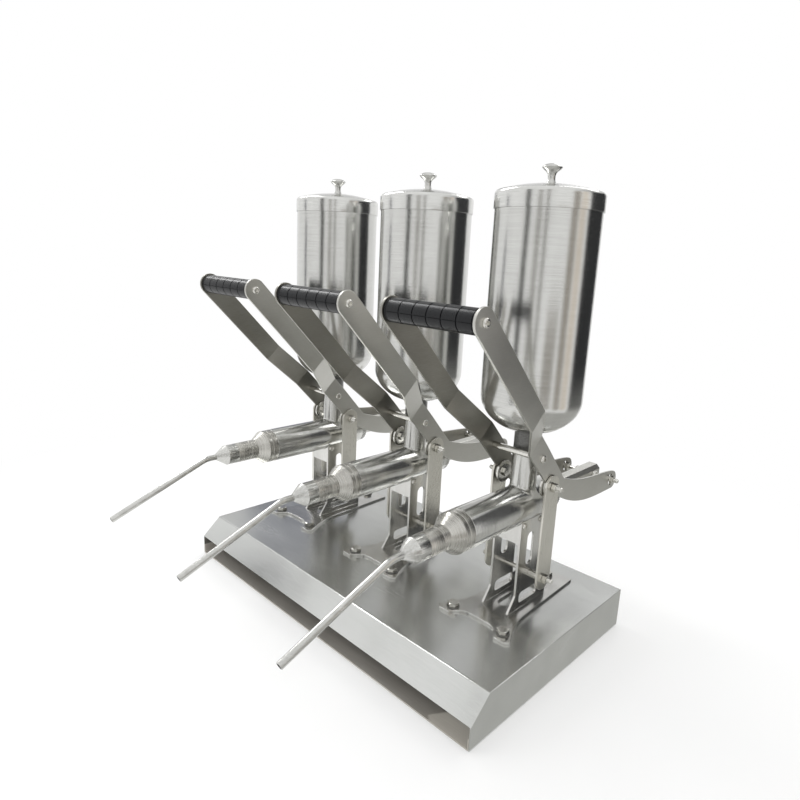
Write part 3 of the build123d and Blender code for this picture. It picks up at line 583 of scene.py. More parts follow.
def domeScrew(name, radius, height, key, keyDepth):
    # low dome on z = 0 with a hexagon socket
    sides = 36
    steps = 6
    sunk = height - keyDepth
    flat = key * 1.25
    columns = []
    for k in range(sides):
        turn = math.tau * k / sides
        socket = hexRadius(turn, key * 2)
        column = [(0.0, sunk), (socket, sunk), (socket, height - 0.05), (socket + 0.25, height)]
        for step in range(1, steps + 1):
            lean = math.radians(90 * step / steps)
            share = fastener["domeEdge"] + (1 - fastener["domeEdge"]) * math.cos(lean)
            column.append((flat + (radius - flat) * math.sin(lean), height * share))
        columns.append((turn, column + [(radius, 0.0), (0.0, 0.0)]))
    return columnMesh(name, columns, False)


def threadProfile(start, end):
    radius = fastener["threadRadius"]
    root = radius - fastener["threadDepth"]
    step = fastener["threadPitch"]
    height = start + fastener["runIn"]
    out = [(0.0, start), (fastener["tip"], start), (root, height)]
    while height + step < end - fastener["runIn"]:
        out += [(radius, height + step * 0.4), (radius, height + step * 0.5), (root, height + step * 0.95)]
        height += step
    return out + [(fastener["tip"], end), (0.0, end)]


def threadedRod(bm, place, axis, start, end, plain=0):
    # plain is how far from its middle the rod has no thread
    profile = threadProfile(start, end)
    if plain:
        radius = fastener["threadRadius"]
        middle = [(radius, -plain), (radius, plain)]
        profile = threadProfile(start, -plain)[:-2] + middle + threadProfile(plain, end)[2:]
    turnedInto(bm, profile, place, axis, steps=20, closed=False, softness=0)


def master(mesh):
    return newObject(mesh.name, mesh)


nutMaster = master(hexBody("nut", fastener["flats"], fastener["nutHeight"], fastener["boreRadius"]))
footHeadMaster = master(hexBody("bolt head", fastener["footFlats"], fastener["footHead"], 0, False))
pivotHeadMaster = master(hexBody("pivot head", fastener["flats"], fastener["pivotHead"], 0, False))
domeMaster = master(domeScrew(
    "dome head", fastener["domeRadius"], fastener["domeHeight"], fastener["key"], fastener["keyDepth"],
))
smallDomeMaster = master(domeScrew(
    "small dome head", fastener["smallDomeRadius"], fastener["smallDomeHeight"],
    fastener["smallKey"], fastener["smallKeyDepth"],
))
print("fastener masters ready")


base = {
    "top": 53.0, "sheet": 1.5, "plate": 3.0, "slope": 27.6, "bend": 1.5, "edge": 0.45, "floorEdge": 0.5,
    "topSlack": 0.1, "slopeSlack": 0.2,  # how near the fold's edges are looked for
}
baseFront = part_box("base_shell")[0][1] / mm


def isSlopeBend(edge):
    spots = [vert.co / mm for vert in edge.verts]
    onTop = all(abs(p.z - base["top"]) < base["topSlack"] for p in spots)
    return onTop and all(abs(p.y - baseFront - base["slope"]) < base["slopeSlack"] for p in spots)


edgedCopy(
    "baseShell", "base_shell", baseSteel, "frame", base["edge"], isSlopeBend, base["bend"],
)
edgedCopy("baseFloor", "base_floor", traySteel, "frame", base["floorEdge"])

footBolts = {"x": 37.8, "frontY": -72.5, "rearY": 81.1, "tail": 3.0}
footSpots = []
for name, x in stations:
    footSpots += [(x + dx, footBolts["frontY"]) for dx in (-footBolts["x"], footBolts["x"])]
    footSpots.append((x, footBolts["rearY"]))
washerLow = base["top"] + base["plate"]
washerHigh = washerLow + fastener["washer"]
nutLow = base["top"] - base["sheet"] - fastener["nutHeight"]
washer = band(
    fastener["washerBore"], fastener["washerRadius"], washerLow + seatGap, washerHigh + seatGap,
)
footShanks = bmesh.new()
footWashers = bmesh.new()
for x, y in footSpots:
    place = (x, y + hopperLine, 0)
    threadedRod(footShanks, place, upward, nutLow - footBolts["tail"], washerHigh)
    turnedInto(footWashers, washer, place, upward, steps=40, softness=0.3)
footHeads = copiesAt(footHeadMaster, [(x, y, washerHigh + seatGap, upward) for x, y in footSpots])
footNuts = copiesAt(nutMaster, [(x, y, nutLow - seatGap, upward) for x, y in footSpots])
fastenerPiece("footBolts", [footHeads, footNuts, meshFrom("shanks", footShanks)], "frame", "foot_bolts")
# the washers take the darkened steel, which paints the shadow ring under the heads
makePiece(
    "footWashers", meshFrom("washers", footWashers), washerShadeSteel, "frame", None, angle=20,
)
print("base ready")


hopper = {
    "radius": 60.0, "sheet": 1.5, "bowl": 44.0, "bowlLine": 322.0, "rim": 550.3,
    "spoutRadius": 13.95, "spoutLow": 241.0, "steps": 160,
}
lid = {
    "radius": 61.3, "sheet": 1.0, "skirt": 533.1, "shoulder": 549.0, "edge": 5.0, "dome": 8.0, "hole": 3.05,
}
knob = {
    "foot": 562.02,
    "profile": [  # (radius, height over the foot), from the rivet under the lid to the crown
        (0.0, -3.0), (6.0, -3.0), (6.0, -2.2), (3.0, -1.9), (3.0, 0.0), (5.5, 0.0), (5.3, 1.4),
        (4.5, 3.2), (4.2, 6.0), (4.3, 9.0), (5.0, 11.0), (6.6, 12.9), (9.1, 14.7), (10.85, 16.525),
        (11.35, 17.225), (11.0, 18.125), (9.15, 19.525), (7.15, 20.6), (4.55, 21.15), (3.0, 21.45),
        (0.0, 21.5),
    ],
}
collar = {"radius": 15.5, "play": 0.05, "low": 258.02, "high": 279.0}


def hopperProfile():
    radius = hopper["radius"]
    innerRadius = radius - hopper["sheet"]
    bore = hopper["spoutRadius"] - hopper["sheet"]
    outer = math.degrees(math.acos(hopper["spoutRadius"] / radius))
    inner = math.degrees(math.acos(bore / innerRadius))
    centre = (0, hopper["bowlLine"])
    outside = arcPoints(centre, radius, hopper["bowl"], -outer, 0, 24)
    inside = arcPoints(centre, innerRadius, hopper["bowl"] - hopper["sheet"], 0, -inner, 24)
    rim = [(radius, hopper["rim"]), (innerRadius, hopper["rim"])]
    low = [(bore, hopper["spoutLow"]), (hopper["spoutRadius"], hopper["spoutLow"])]
    return outside + rim + inside + low


def lidProfile():
    flat = lid["radius"] - lid["edge"]
    top = lid["shoulder"] + lid["edge"]
    sheet = lid["sheet"]
    bend = arcPoints((flat, lid["shoulder"]), lid["edge"], lid["edge"], 0, 90, 8)
    innerBend = arcPoints((flat, lid["shoulder"]), lid["edge"] - sheet, lid["edge"] - sheet, 90, 0, 8)
    sphere = (flat ** 2 + lid["dome"] ** 2) / (2 * lid["dome"])
    steps = 14
    crown = []
    for k in range(1, steps + 1):
        reach = flat + (lid["hole"] - flat) * k / steps
        crown.append((reach, top + lid["dome"] - sphere + math.sqrt(sphere ** 2 - reach ** 2)))
    under = [(r, z - sheet) for r, z in reversed(crown)]
    skirt = [(lid["radius"] - sheet, lid["skirt"]), (lid["radius"], lid["skirt"])]
    return bend + crown + under + innerBend + skirt


collars = bmesh.new()
collarBand = band(hopper["spoutRadius"] + collar["play"], collar["radius"], collar["low"], collar["high"])
for name, x in stations:
    place = (x, hopperLine, 0)
    makePiece(
        name + "Hopper", turned("hopper", hopperProfile(), place, upward, hopper["steps"]),
        spunSteel, "frame", [name + "_hopper"],
    )
    makePiece(
        name + "Lid", turned("lid", lidProfile(), place, upward, hopper["steps"], softness=0.25),
        lidSteel, name + "_lid", [name + "_hopper_lid"],
    )
    knobProfile = [(r, knob["foot"] + z) for r, z in knob["profile"]]
    makePiece(
        name + "Knob", turned("knob", knobProfile, place, upward, 64, closed=False, softness=0.3),
        turnedSteel, name + "_lid", [name + "_lid_knob"], angle=40,
    )
    turnedInto(collars, collarBand, place, upward, steps=64, softness=0.8)
makePiece(
    "hopperCollars", meshFrom("collars", collars),
    collarBlack, "frame", ["hopper_collars"],
)
print("hoppers ready")


spigotPlay = 0.05  # between a spigot and the bore it sits in, in mm
pump = {
    "axis": 186.5, "radius": 24.0, "bore": 20.5, "front": -119.0, "rear": 45.0,
    "neck": 16.0, "neckBore": 14.0, "neckTop": 258.0, "rimOuter": 0.5, "rimInner": 0.4,
    "weld": 4.0, "weldSunk": 0.05, "rootShare": 0.7, "rootDepth": 1.6,
    "lugLow": 160.03, "lugHalf": 16.98, "lugFront": -21.98, "lugRear": 22.5, "lugSunk": 2.0, "lugEdge": 0.6,
}
ring = {
    "radius": 22.7, "width": 10.0, "bore": 14.8, "spigot": 6.0,
    "under": 0.6, "chamfer": 1.4, "chamferLength": 0.9,
    "rows": 6, "teeth": 56, "toothLength": 1.15, "toothWidth": 1.5, "toothHeight": 1.1, "plain": 2.0,
}
reducer = {
    "radius": 23.8, "band": 14.5, "cone": 13.5, "tube": 14.0, "length": 31.0, "wall": 3.0, "spigot": 8.0,
    # (radius less than the band's, distance from the cone) of the line turned into the band
    "bandLine": [(0.0, 6.4), (0.25, 6.2), (0.25, 5.8), (0.0, 5.6)],
    # the same for the line turned into the tube
    "tubeLine": [(0.0, -10.0), (0.2, -10.2), (0.2, -10.6), (0.0, -10.8)],
}
nozzle = {
    "cap": 15.0, "cone": 14.0, "radius": 4.0, "wall": 1.0, "spigot": 10.0, "straight": 9.0,
    "bendRadius": 30.0, "bendAngle": 22.6, "spout": 132.3, "capWall": 2.0, "inCone": 3.0,
}


def neckInto(bm, x):
    # neck tube whose foot spreads into a small weld on the barrel
    steps = 96
    arcSteps = 5
    neck, bore, weld = pump["neck"], pump["neckBore"], pump["weld"]
    top = pump["neckTop"] - pump["axis"]
    foot = []
    for k in range(arcSteps + 1):
        angle = math.radians(90 * k / arcSteps)
        foot.append((neck + weld * (1 - math.sin(angle)), weld * (1 - math.cos(angle)) - pump["weldSunk"]))
    rim = [
        (neck, top - pump["rimOuter"]), (neck - pump["rimOuter"], top),
        (bore + pump["rimInner"], top), (bore, top - pump["rimInner"]),
    ]
    root = neck + weld * pump["rootShare"]
    columns = []
    for k in range(steps):
        turn = math.tau * k / steps
        across, along = math.cos(turn), math.sin(turn)
        onBarrel = [
            (reach, math.sqrt(pump["radius"] ** 2 - (reach * across) ** 2) + lift)
            for reach, lift in [(root, -pump["rootDepth"])] + foot + [(bore, -pump["rootDepth"])]
        ]
        column = onBarrel[:-1] + rim + onBarrel[-1:]
        columns.append([
            bm.verts.new(Vector((x + r * across, hopperLine + r * along, pump["axis"] + z)) * mm)
            for r, z in column
        ])
    columnsInto(bm, columns, True)


def lugMesh(x):
    half = pump["lugHalf"]
    lugTop = pump["axis"] - math.sqrt(pump["radius"] ** 2 - half ** 2) + pump["lugSunk"]
    low = (x - half, hopperLine + pump["lugFront"], pump["lugLow"])
    high = (x + half, hopperLine + pump["lugRear"], lugTop)
    bm = bmesh.new()
    for vert in bmesh.ops.create_cube(bm, size=1.0)["verts"]:
        vert.co = Vector([(a + b) / 2 + c * (b - a) for a, b, c in zip(low, high, vert.co)]) * mm
    bmesh.ops.bevel(
        bm, geom=bm.edges[:], offset=pump["lugEdge"] * mm, segments=2, profile=0.5, affect="EDGES",
    )
    return meshFrom("lug", bm)


def pumpMesh(x):
    bm = bmesh.new()
    tube = band(pump["bore"], pump["radius"], pump["front"], pump["rear"])
    turnedInto(bm, tube, (x, hopperLine, pump["axis"]), toRear, steps=128, softness=0.5)
    neckInto(bm, x)
    return joined("pump", [meshFrom("barrel", bm), lugMesh(x)])


def ringProfile():
    spigotRadius = pump["bore"] - spigotPlay
    spigotEnd = pump["rear"] - ring["spigot"]
    front = pump["rear"] + seatGap
    rear = pump["rear"] + ring["width"]
    under = ring["radius"] - ring["under"]  # the band that the teeth stand on
    narrow = ring["radius"] - ring["chamfer"]
    return [
        (ring["bore"], spigotEnd), (spigotRadius, spigotEnd), (spigotRadius, front), (narrow, front),
        (under, front + ring["chamferLength"]), (under, rear - ring["chamferLength"]), (narrow, rear),
        (ring["bore"], rear),
    ]


def ringMesh(x):
    # knurled band: two crossing rows of narrow pads over a plain ring
    core = turned("ring", ringProfile(), (0, 0, 0), toRight, steps=96, softness=0.25)
    teeth = padsRound({
        "Rows": ring["rows"], "Around": ring["teeth"], "Length": (ring["width"] - ring["plain"]) * mm,
        "Radius": (ring["radius"] - ring["under"]) * mm, "Pad Length": ring["toothLength"] * mm,
        "Pad Width": ring["toothWidth"] * mm, "Pad Height": ring["toothHeight"] * mm, "Stagger": 0.5,
        "Finish": turnedSteel,
    })
    teeth.transform(Matrix.Translation(Vector((pump["rear"] + ring["width"] / 2, 0, 0)) * mm))
    both = joined("ring", [core, teeth])
    both.transform(Matrix.Rotation(math.pi / 2, 4, "Z"))
    both.transform(Matrix.Translation(Vector((x, hopperLine, pump["axis"])) * mm))
    return both


def reducerProfile():
    spigotRadius = pump["bore"] - spigotPlay
    spigotEnd = pump["front"] + reducer["spigot"]
    seam = pump["front"] - seatGap
    cone = pump["front"] - reducer["band"]
    tube = cone - reducer["cone"]
    end = tube - reducer["length"]
    wide, narrow, wall = reducer["radius"], reducer["tube"], reducer["wall"]
    bandLine = [(wide - less, cone + z) for less, z in reducer["bandLine"]]
    tubeLine = [(narrow - less, tube + z) for less, z in reducer["tubeLine"]]
    outside = [(wide, seam)] + bandLine + [(wide, cone), (narrow, tube)] + tubeLine + [(narrow, end)]
    inside = [(narrow - wall, end), (narrow - wall, tube), (pump["bore"] - wall, cone)]
    spigot = [(pump["bore"] - wall, spigotEnd), (spigotRadius, spigotEnd), (spigotRadius, seam)]
    return spigot + outside + inside


def nozzleMesh(x):
    start = pump["front"] - reducer["band"] - reducer["cone"] - reducer["length"]
    capEnd = start - nozzle["cap"]
    coneEnd = capEnd - nozzle["cone"]
    bend = coneEnd - nozzle["straight"]
    bore = reducer["tube"] - reducer["wall"]
    inner, spigotRadius = bore - nozzle["capWall"], bore - spigotPlay
    seam, spigotEnd = start - seatGap, start + nozzle["spigot"]
    radius = nozzle["radius"]
    cap = [
        (inner, spigotEnd), (spigotRadius, spigotEnd), (spigotRadius, seam), (reducer["tube"], seam),
        (reducer["tube"], capEnd), (radius + 0.7, coneEnd), (radius - 0.1, coneEnd - 0.7),
        (radius - 0.4, coneEnd), (inner, capEnd),
    ]
    bm = bmesh.new()
    turnedInto(bm, cap, (x, hopperLine, pump["axis"]), toRear, steps=96, softness=0.3)
    # the tube follows a path in the plane of the station, as (y, z)
    path = [Vector((coneEnd + nozzle["inCone"], pump["axis"])), Vector((bend, pump["axis"]))]
    turn = math.radians(nozzle["bendAngle"])
    pivot = Vector((bend, pump["axis"] - nozzle["bendRadius"]))
    bendSteps = 12
    for k in range(1, bendSteps + 1):
        swing = turn * k / bendSteps
        path.append(pivot + Vector((-math.sin(swing), math.cos(swing))) * nozzle["bendRadius"])
    path.append(path[-1] + Vector((-math.cos(turn), -math.sin(turn))) * nozzle["spout"])
    steps = 40
    shells = []
    for wide in (radius, radius - nozzle["wall"]):
        loops = []
        for i, spot in enumerate(path):
            ahead = (path[min(i + 1, len(path) - 1)] - path[max(i - 1, 0)]).normalized()
            normal = Vector((-ahead.y, ahead.x))
            loop = []
            for k in range(steps):
                angle = math.tau * k / steps
                out = normal * math.cos(angle) * wide
                y, z = hopperLine + spot.x + out.x, spot.y + out.y
                loop.append(bm.verts.new(Vector((x + math.sin(angle) * wide, y, z)) * mm))
            loops.append(loop)
        shells.append(loops)
    walls = [pair for loops in shells for pair in zip(loops, loops[1:])]
    ends = [(shells[0][end], shells[1][end]) for end in (0, -1)]
    for a, b in walls + ends:
        for k in range(steps):
            n = (k + 1) % steps
            bm.faces.new((a[k], a[n], b[n], b[k]))
    return meshFrom("nozzle", bm)


for name, x in stations:
    place = (x, hopperLine, pump["axis"])
    makePiece(name + "Pump", pumpMesh(x), turnedSteel, "frame", [name + "_pump_body"])
    makePiece(name + "RearRing", ringMesh(x), turnedSteel, "frame", [name + "_rear_ring"])
    makePiece(
        name + "Reducer", turned("reducer", reducerProfile(), place, toRear, 128, softness=0.3),
        latheSteel, "frame", [name + "_reducer"],
    )
    makePiece(name + "Nozzle", nozzleMesh(x), tubeSteel, "frame", [name + "_nozzle"])
print("pumps ready")


piston = {
    "front": 17.5, "rear": 37.5, "radius": 20.4, "groove": 18.4, "inset": 3.5,
    "seal": 3.0, "sealRadius": 20.45, "bore": 5.02, "boreDepth": 12.0,
}
draw = {
    "edge": 0.4, "pinY": 163.0, "pinZ": 188.0, "half": 48.2, "plain": 27.5,
    "bar": 11.02, "plateIn": 33.5, "plateOut": 36.5, "nutGap": 0.3,
}


def pistonProfile():
    radius, groove = piston["radius"], piston["groove"]
    low, high = piston["front"], piston["rear"]
    sealLow, sealHigh = low + piston["inset"], high - piston["inset"]
    boreEnd = high - piston["boreDepth"]
    return [
        (0.0, low), (radius, low), (radius, sealLow), (groove, sealLow), (groove, sealLow + piston["seal"]),
        (radius, sealLow + piston["seal"]), (radius, sealHigh - piston["seal"]),
        (groove, sealHigh - piston["seal"]), (groove, sealHigh), (radius, sealHigh), (radius, high),
        (piston["bore"], high), (piston["bore"], boreEnd), (0.0, boreEnd),
    ]


def sealsMesh(place):
    bm = bmesh.new()
    for low in (piston["front"] + piston["inset"], piston["rear"] - piston["inset"] - piston["seal"]):
        high = low + piston["seal"]
        rubber = band(piston["groove"] + seatGap, piston["sealRadius"], low + seatGap, high - seatGap)
        turnedInto(bm, rubber, place, toRear, steps=96, softness=0.6)
    return meshFrom("seals", bm)


for name, x in stations:
    body = name + "_plunger"
    place = (x, hopperLine, pump["axis"])
    edgedCopy(name + "Drawbar", name + "_drawbar", leverSteel, body, draw["edge"])
    makePiece(
        name + "Piston", turned("piston", pistonProfile(), place, toRear, 96, closed=False, softness=0.3),
        turnedSteel, body, [name + "_piston"],
    )
    makePiece(name + "Seals", sealsMesh(place), sealBlack, body, [name + "_piston_seals"])
    y, z = draw["pinY"], draw["pinZ"]
    inNut = draw["plateIn"] - draw["nutGap"] - fastener["nutHeight"]
    spots = []
    for start in (draw["bar"], inNut, draw["plateOut"] + draw["nutGap"]):
        spots += [(x + start, y, z, toRight), (x - start, y, z, toLeft)]
    rod = bmesh.new()
    centre = (x, hopperLine + y, z)
    threadedRod(rod, centre, toRight, -draw["half"], draw["half"], draw["plain"])
    parts = [copiesAt(nutMaster, spots), meshFrom("rod", rod)]
    fastenerPiece(name + "DrawbarBolt", parts, body, name + "_drawbar_bolt")
print("plungers ready")


rocker = {
    "y": 3.0, "low": 98.5, "high": 217.5, "outer": 40.0, "half": 52.0, "plain": 36.0,
    "sleeve": 5.0, "sleeveIn": 20.02, "sleeveOut": 36.7,
}
pivot = {"disc": 14.5, "discIn": 30.2, "discOut": 33.2, "headIn": 26.98, "rodIn": 29.98, "end": 52.8}
lever = {
    "angle": 46.0, "length": 274.5, "offset": 11.8, "upper": 57.5, "lower": 33.5,
    "sheet": 3.0, "edge": 0.35, "rodBack": 44.7, "rodShift": 1.2, "rod": 4.0,
}
grip = {
    "radius": 12.5, "bore": 4.05, "core": 11.4, "half": 57.45, "collar": 2.4, "collarFoot": 2.9,
    "rows": 6, "around": 6, "padsEnd": 2.6, "padLength": 17.0, "padWidth": 11.9, "padHeight": 1.5,
    "padSunk": 0.3, "turn": -27.0,
}
armWay = Vector((math.cos(math.radians(lever["angle"])), -math.sin(math.radians(lever["angle"]))))
armSide = Vector((-armWay.y, armWay.x))
gripSpot = Vector((rocker["y"], rocker["high"])) - armWay * lever["length"] + armSide * lever["offset"]
rodSpot = gripSpot + armWay * (lever["length"] - lever["rodBack"]) - armSide * lever["rodShift"]
outNut = rocker["outer"] + draw["nutGap"]


def roundedPads(mesh):
    # flat pads bend round the grip, their undersides sunk into its core
    least = 0.005  # metres, shorter edges are the pads' heights
    middle = (grip["radius"] - grip["padHeight"] / 2) * mm
    bm = bmesh.new()
    bm.from_mesh(mesh)
    ribs = [
        e for e in bm.edges
        if abs((e.verts[0].co - e.verts[1].co).x) < 1e-6 and e.calc_length() > least
    ]
    bmesh.ops.subdivide_edges(bm, edges=ribs, cuts=5)
    for vert in bm.verts:
        flat = Vector((0, vert.co.y, vert.co.z))
        reach = grip["radius"] if flat.length > middle else grip["core"] - grip["padSunk"]
        vert.co = Vector((vert.co.x, 0, 0)) + flat.normalized() * (reach * mm)
    bm.to_mesh(mesh)
    bm.free()


def gripMesh(x):
    radius, core, bore, half = grip["radius"], grip["core"], grip["bore"], grip["half"]
    edge, foot = half - grip["collar"], half - grip["collarFoot"]
    profile = [
        (bore, -half), (radius, -half), (radius, -edge), (core, -foot),
        (core, foot), (radius, edge), (radius, half), (bore, half),
    ]
    sleeve = turned("sleeve", profile, (0, 0, 0), toRight, steps=72, softness=0.6)
    bricks = padsRound({
        "Rows": grip["rows"], "Around": grip["around"], "Length": 2 * (half - grip["padsEnd"]) * mm,
        "Radius": (radius - grip["padHeight"] / 2) * mm, "Pad Length": grip["padLength"] * mm,
        "Pad Width": grip["padWidth"] * mm, "Pad Height": grip["padHeight"] * mm, "Stagger": 0.0,
        "Finish": gripBlack,
    })
    bricks.transform(Matrix.Rotation(math.radians(grip["turn"]), 4, "X"))
    roundedPads(bricks)
    both = joined("grip", [sleeve, bricks])
    both.transform(Matrix.Translation(Vector((x, hopperLine + gripSpot.x, gripSpot.y)) * mm))
    return both


def leverRods(x):
    # the rods in the grip and between the plates, each with a dome screw at both ends
    heads = []
    bm = bmesh.new()
    for spot, inner in ((gripSpot, lever["upper"]), (rodSpot, lever["lower"])):
        face = inner + lever["sheet"] + seatGap
        half = inner - seatGap
        centre = (x, hopperLine + spot.x, spot.y)
        heads += [(x + face, spot.x, spot.y, toRight), (x - face, spot.x, spot.y, toLeft)]
        rod = band(0.0, lever["rod"], -half, half)
        turnedInto(bm, rod, centre, toRight, steps=40, closed=False, softness=0.3)
        shank = band(0.0, fastener["domeShank"], -face, face)
        turnedInto(bm, shank, centre, toRight, steps=24, closed=False, softness=0)
    return [copiesAt(domeMaster, heads), meshFrom("rods", bm)]


def upperPivots(x):
    y, top = rocker["y"], rocker["high"]
    headFoot = pivot["headIn"] + fastener["pivotHead"]
    nuts = copiesAt(nutMaster, [(x + outNut, y, top, toRight), (x - outNut, y, top, toLeft)])
    heads = copiesAt(pivotHeadMaster, [(x + headFoot, y, top, toLeft), (x - headFoot, y, top, toRight)])
    bm = bmesh.new()
    centre = (x, hopperLine + y, top)
    disc = band(fastener["boreRadius"], pivot["disc"], pivot["discIn"], pivot["discOut"])
    for hand in (toLeft, toRight):
        turnedInto(bm, disc, centre, hand, steps=64, softness=0.5)
        threadedRod(bm, centre, hand, pivot["rodIn"], pivot["end"])
    return [nuts, heads, meshFrom("pins", bm)]


for name, x in stations:
    body = name + "_lever"
    edge = lever["edge"]
    edgedCopy(name + "Stand", name + "_stand", standSteel, "frame", edge)
    # the left plate wears the darker copy of the lever sheet, which is painted shade
    edgedCopy(name + "LeverLeft", name + "_lever_plate_left", leverShadeSteel, body, edge)
    edgedCopy(name + "LeverRight", name + "_lever_plate_right", leverSteel, body, edge)
    edgedCopy(name + "Links", name + "_rocker_links", linkSteel, name + "_rocker", edge)
    makePiece(name + "Grip", gripMesh(x), gripBlack, body, [name + "_grip"], angle=25)
    fastenerPiece(name + "LeverRods", leverRods(x), body, name + "_lever_rods")
    fastenerPiece(name + "UpperPivots", upperPivots(x), name + "_rocker", name + "_rocker_pivot_bolts")
print("levers ready")

lowerNuts = []
lowerPins = bmesh.new()
sleeve = band(fastener["boreRadius"], rocker["sleeve"], rocker["sleeveIn"], rocker["sleeveOut"])
for name, x in stations:
    for hand, way in ((1, toRight), (-1, toLeft)):
        lowerNuts.append((x + hand * outNut, rocker["y"], rocker["low"], way))
    centre = (x, hopperLine + rocker["y"], rocker["low"])
    threadedRod(lowerPins, centre, toRight, -rocker["half"], rocker["half"], rocker["plain"])
    for way in (toLeft, toRight):
        turnedInto(lowerPins, sleeve, centre, way, steps=32, softness=0.3)
lowerParts = [copiesAt(nutMaster, lowerNuts), meshFrom("pins", lowerPins)]
fastenerPiece("lowerPivots", lowerParts, "frame", "link_pivot_bolts")

barrelScrew = {
    "face": 20.0, "z": 166.53, "frontY": -18.5, "rearY": 17.0, "shank": 2.0, "depth": 7.0, "inHead": 0.3,
}
smallSpots = []
smallShanks = bmesh.new()
shankLow = barrelScrew["face"] - barrelScrew["depth"]
shankHigh = barrelScrew["face"] + barrelScrew["inHead"]
shank = band(0.0, barrelScrew["shank"], shankLow, shankHigh)
for name, x in stations:
    for y in (barrelScrew["frontY"], barrelScrew["rearY"]):
        for hand, way in ((-1, toLeft), (1, toRight)):
            smallSpots.append((x + hand * barrelScrew["face"], y, barrelScrew["z"], way))
            centre = (x, hopperLine + y, barrelScrew["z"])
            turnedInto(smallShanks, shank, centre, way, steps=20, closed=False, softness=0.2)
screwParts = [copiesAt(smallDomeMaster, smallSpots), meshFrom("shanks", smallShanks)]
fastenerPiece("barrelScrews", screwParts, "frame", "barrel_screws")
for prototype in (nutMaster, footHeadMaster, pivotHeadMaster, domeMaster, smallDomeMaster):
    bpy.data.objects.remove(prototype)
print("fasteners ready")


studio = {
    "floorColor": (0.93, 0.93, 0.925), "floorRoughness": 0.7, "floorSize": 12.0, "floorDrop": 0.0005,
    "clearFrom": 0.45, "clearTo": 0.95, "clearLeast": 0.35, "skySoft": 0.62,
    # heights of the wall, haze and ceiling as the sine of how far up one looks
    "wallTop": 0.20, "hazeFrom": 0.44, "hazeTo": 0.62, "ceilingFrom": 0.86,
    "haze": 0.64, "hazeStart": -0.15, "hazeFull": 0.35,
}


def seenDirectly(tree):
    # 1 for camera, glossy and transmission rays, 0 for the light that falls on things
    path = addNode(tree, "ShaderNodeLightPath")
    mirrored = calc(tree, "MAXIMUM", path["Is Camera Ray"], path["Is Glossy Ray"])
    return calc(tree, "MAXIMUM", mirrored, path["Is Transmission Ray"]), path["Is Camera Ray"]


def mixedShader(tree, factor, first, second):
    return addNode(tree, "ShaderNodeMixShader", {"Fac": factor, 1: first, 2: second})[0]


def backdrop(tree, color, strength):
    return addNode(tree, "ShaderNodeBackground", {"Color": color, "Strength": strength})[0]


white = (1, 1, 1, 1)
world = bpy.data.worlds.new("studio")
scene.world = world
world.use_nodes = True
sky = world.node_tree
sky.nodes.clear()
seen, byCamera = seenDirectly(sky)
# metal sees a white wall, a grey haze above it and a white ceiling
way = addNode(sky, "ShaderNodeTexCoord")["Generated"]
parts = addNode(sky, "ShaderNodeSeparateXYZ", {0: way})
rise = sky.nodes.new("ShaderNodeValToRGB")
rise.color_ramp.interpolation = "EASE"
stops = rise.color_ramp.elements
for stop, place in zip(stops, (studio["wallTop"], studio["ceilingFrom"])):
    stop.position = place
    stop.color = white
for place in (studio["hazeFrom"], studio["hazeTo"]):
    stops.new(place).color = (studio["haze"], studio["haze"], studio["haze"], 1)
sky.links.new(parts["Z"], rise.inputs["Fac"])
behind = mapped(sky, parts["Y"], 0.0, 1.0, studio["hazeStart"], studio["hazeFull"], "SMOOTHSTEP")
hazy = addNode(sky, "ShaderNodeMix", {0: behind, 6: white, 7: rise.outputs["Color"]}, data_type="RGBA")[2]
lit = mixedShader(sky, seen, backdrop(sky, white, studio["skySoft"]), backdrop(sky, hazy, 1.0))
shown = mixedShader(sky, byCamera, lit, backdrop(sky, white, 1.0))
addNode(sky, "ShaderNodeOutputWorld", {"Surface": shown})

floorMat, floorTree, floorShader = newMaterial(
    "pale floor", studio["floorColor"], 0.0, studio["floorRoughness"]
)
floorShader.inputs["Specular IOR Level"].default_value = 0.0
# the floor clears to plain white away from the object, where no shadow falls
spot = addNode(floorTree, "ShaderNodeTexCoord")["Object"]
reach = addNode(floorTree, "ShaderNodeVectorMath", {0: spot}, operation="LENGTH")["Value"]
clear = mapped(
    floorTree, reach, studio["clearLeast"], 1.0, studio["clearFrom"], studio["clearTo"], "SMOOTHSTEP"
)
amount = calc(floorTree, "MULTIPLY", clear, seenDirectly(floorTree)[0])
glow = addNode(floorTree, "ShaderNodeEmission")[0]
floorLook = mixedShader(floorTree, amount, floorShader.outputs[0], glow)
floorTree.links.new(floorLook, floorTree.nodes["Material Output"].inputs["Surface"])
bm = bmesh.new()
bmesh.ops.create_grid(bm, x_segments=1, y_segments=1, size=studio["floorSize"] / 2)
floorMesh = bpy.data.meshes.new("floor")
bm.to_mesh(floorMesh)
bm.free()
floorMesh.materials.append(floorMat)
floor = newObject("floor", floorMesh)
floor.location.z = -studio["floorDrop"]


def softbox(name, spot, aim, size, power, mirrored=False):
    lamp = bpy.data.lights.new(name, "AREA")
    lamp.shape = "RECTANGLE"
    lamp.size, lamp.size_y = size
    lamp.energy = power
    piece = newObject(name, lamp)
    piece.location = spot
    piece.rotation_euler = (Vector(aim) - Vector(spot)).to_track_quat("-Z", "Y").to_euler()
    piece.visible_glossy = mirrored


softbox("key", (-1.3, -1.5, 1.5), (0, 0, 0.25), size=(1.0, 1.2), power=10)
softbox("fill", (1.9, -1.1, 1.1), (0, 0, 0.25), size=(1.0, 1.4), power=10)
softbox("top", (0.0, 0.0, 2.1), (0, 0, 0), size=(1.4, 1.2), power=10)
# these two also show in the metal, as bright lines along the barrels, folds and grips
softbox("back", (0.0, 1.75, 1.95), (0, 0, 0.2), size=(1.6, 0.5), power=9, mirrored=True)
softbox("left", (-1.45, -0.05, 1.65), (0, 0, 0.1), size=(0.4, 1.2), power=12, mirrored=True)

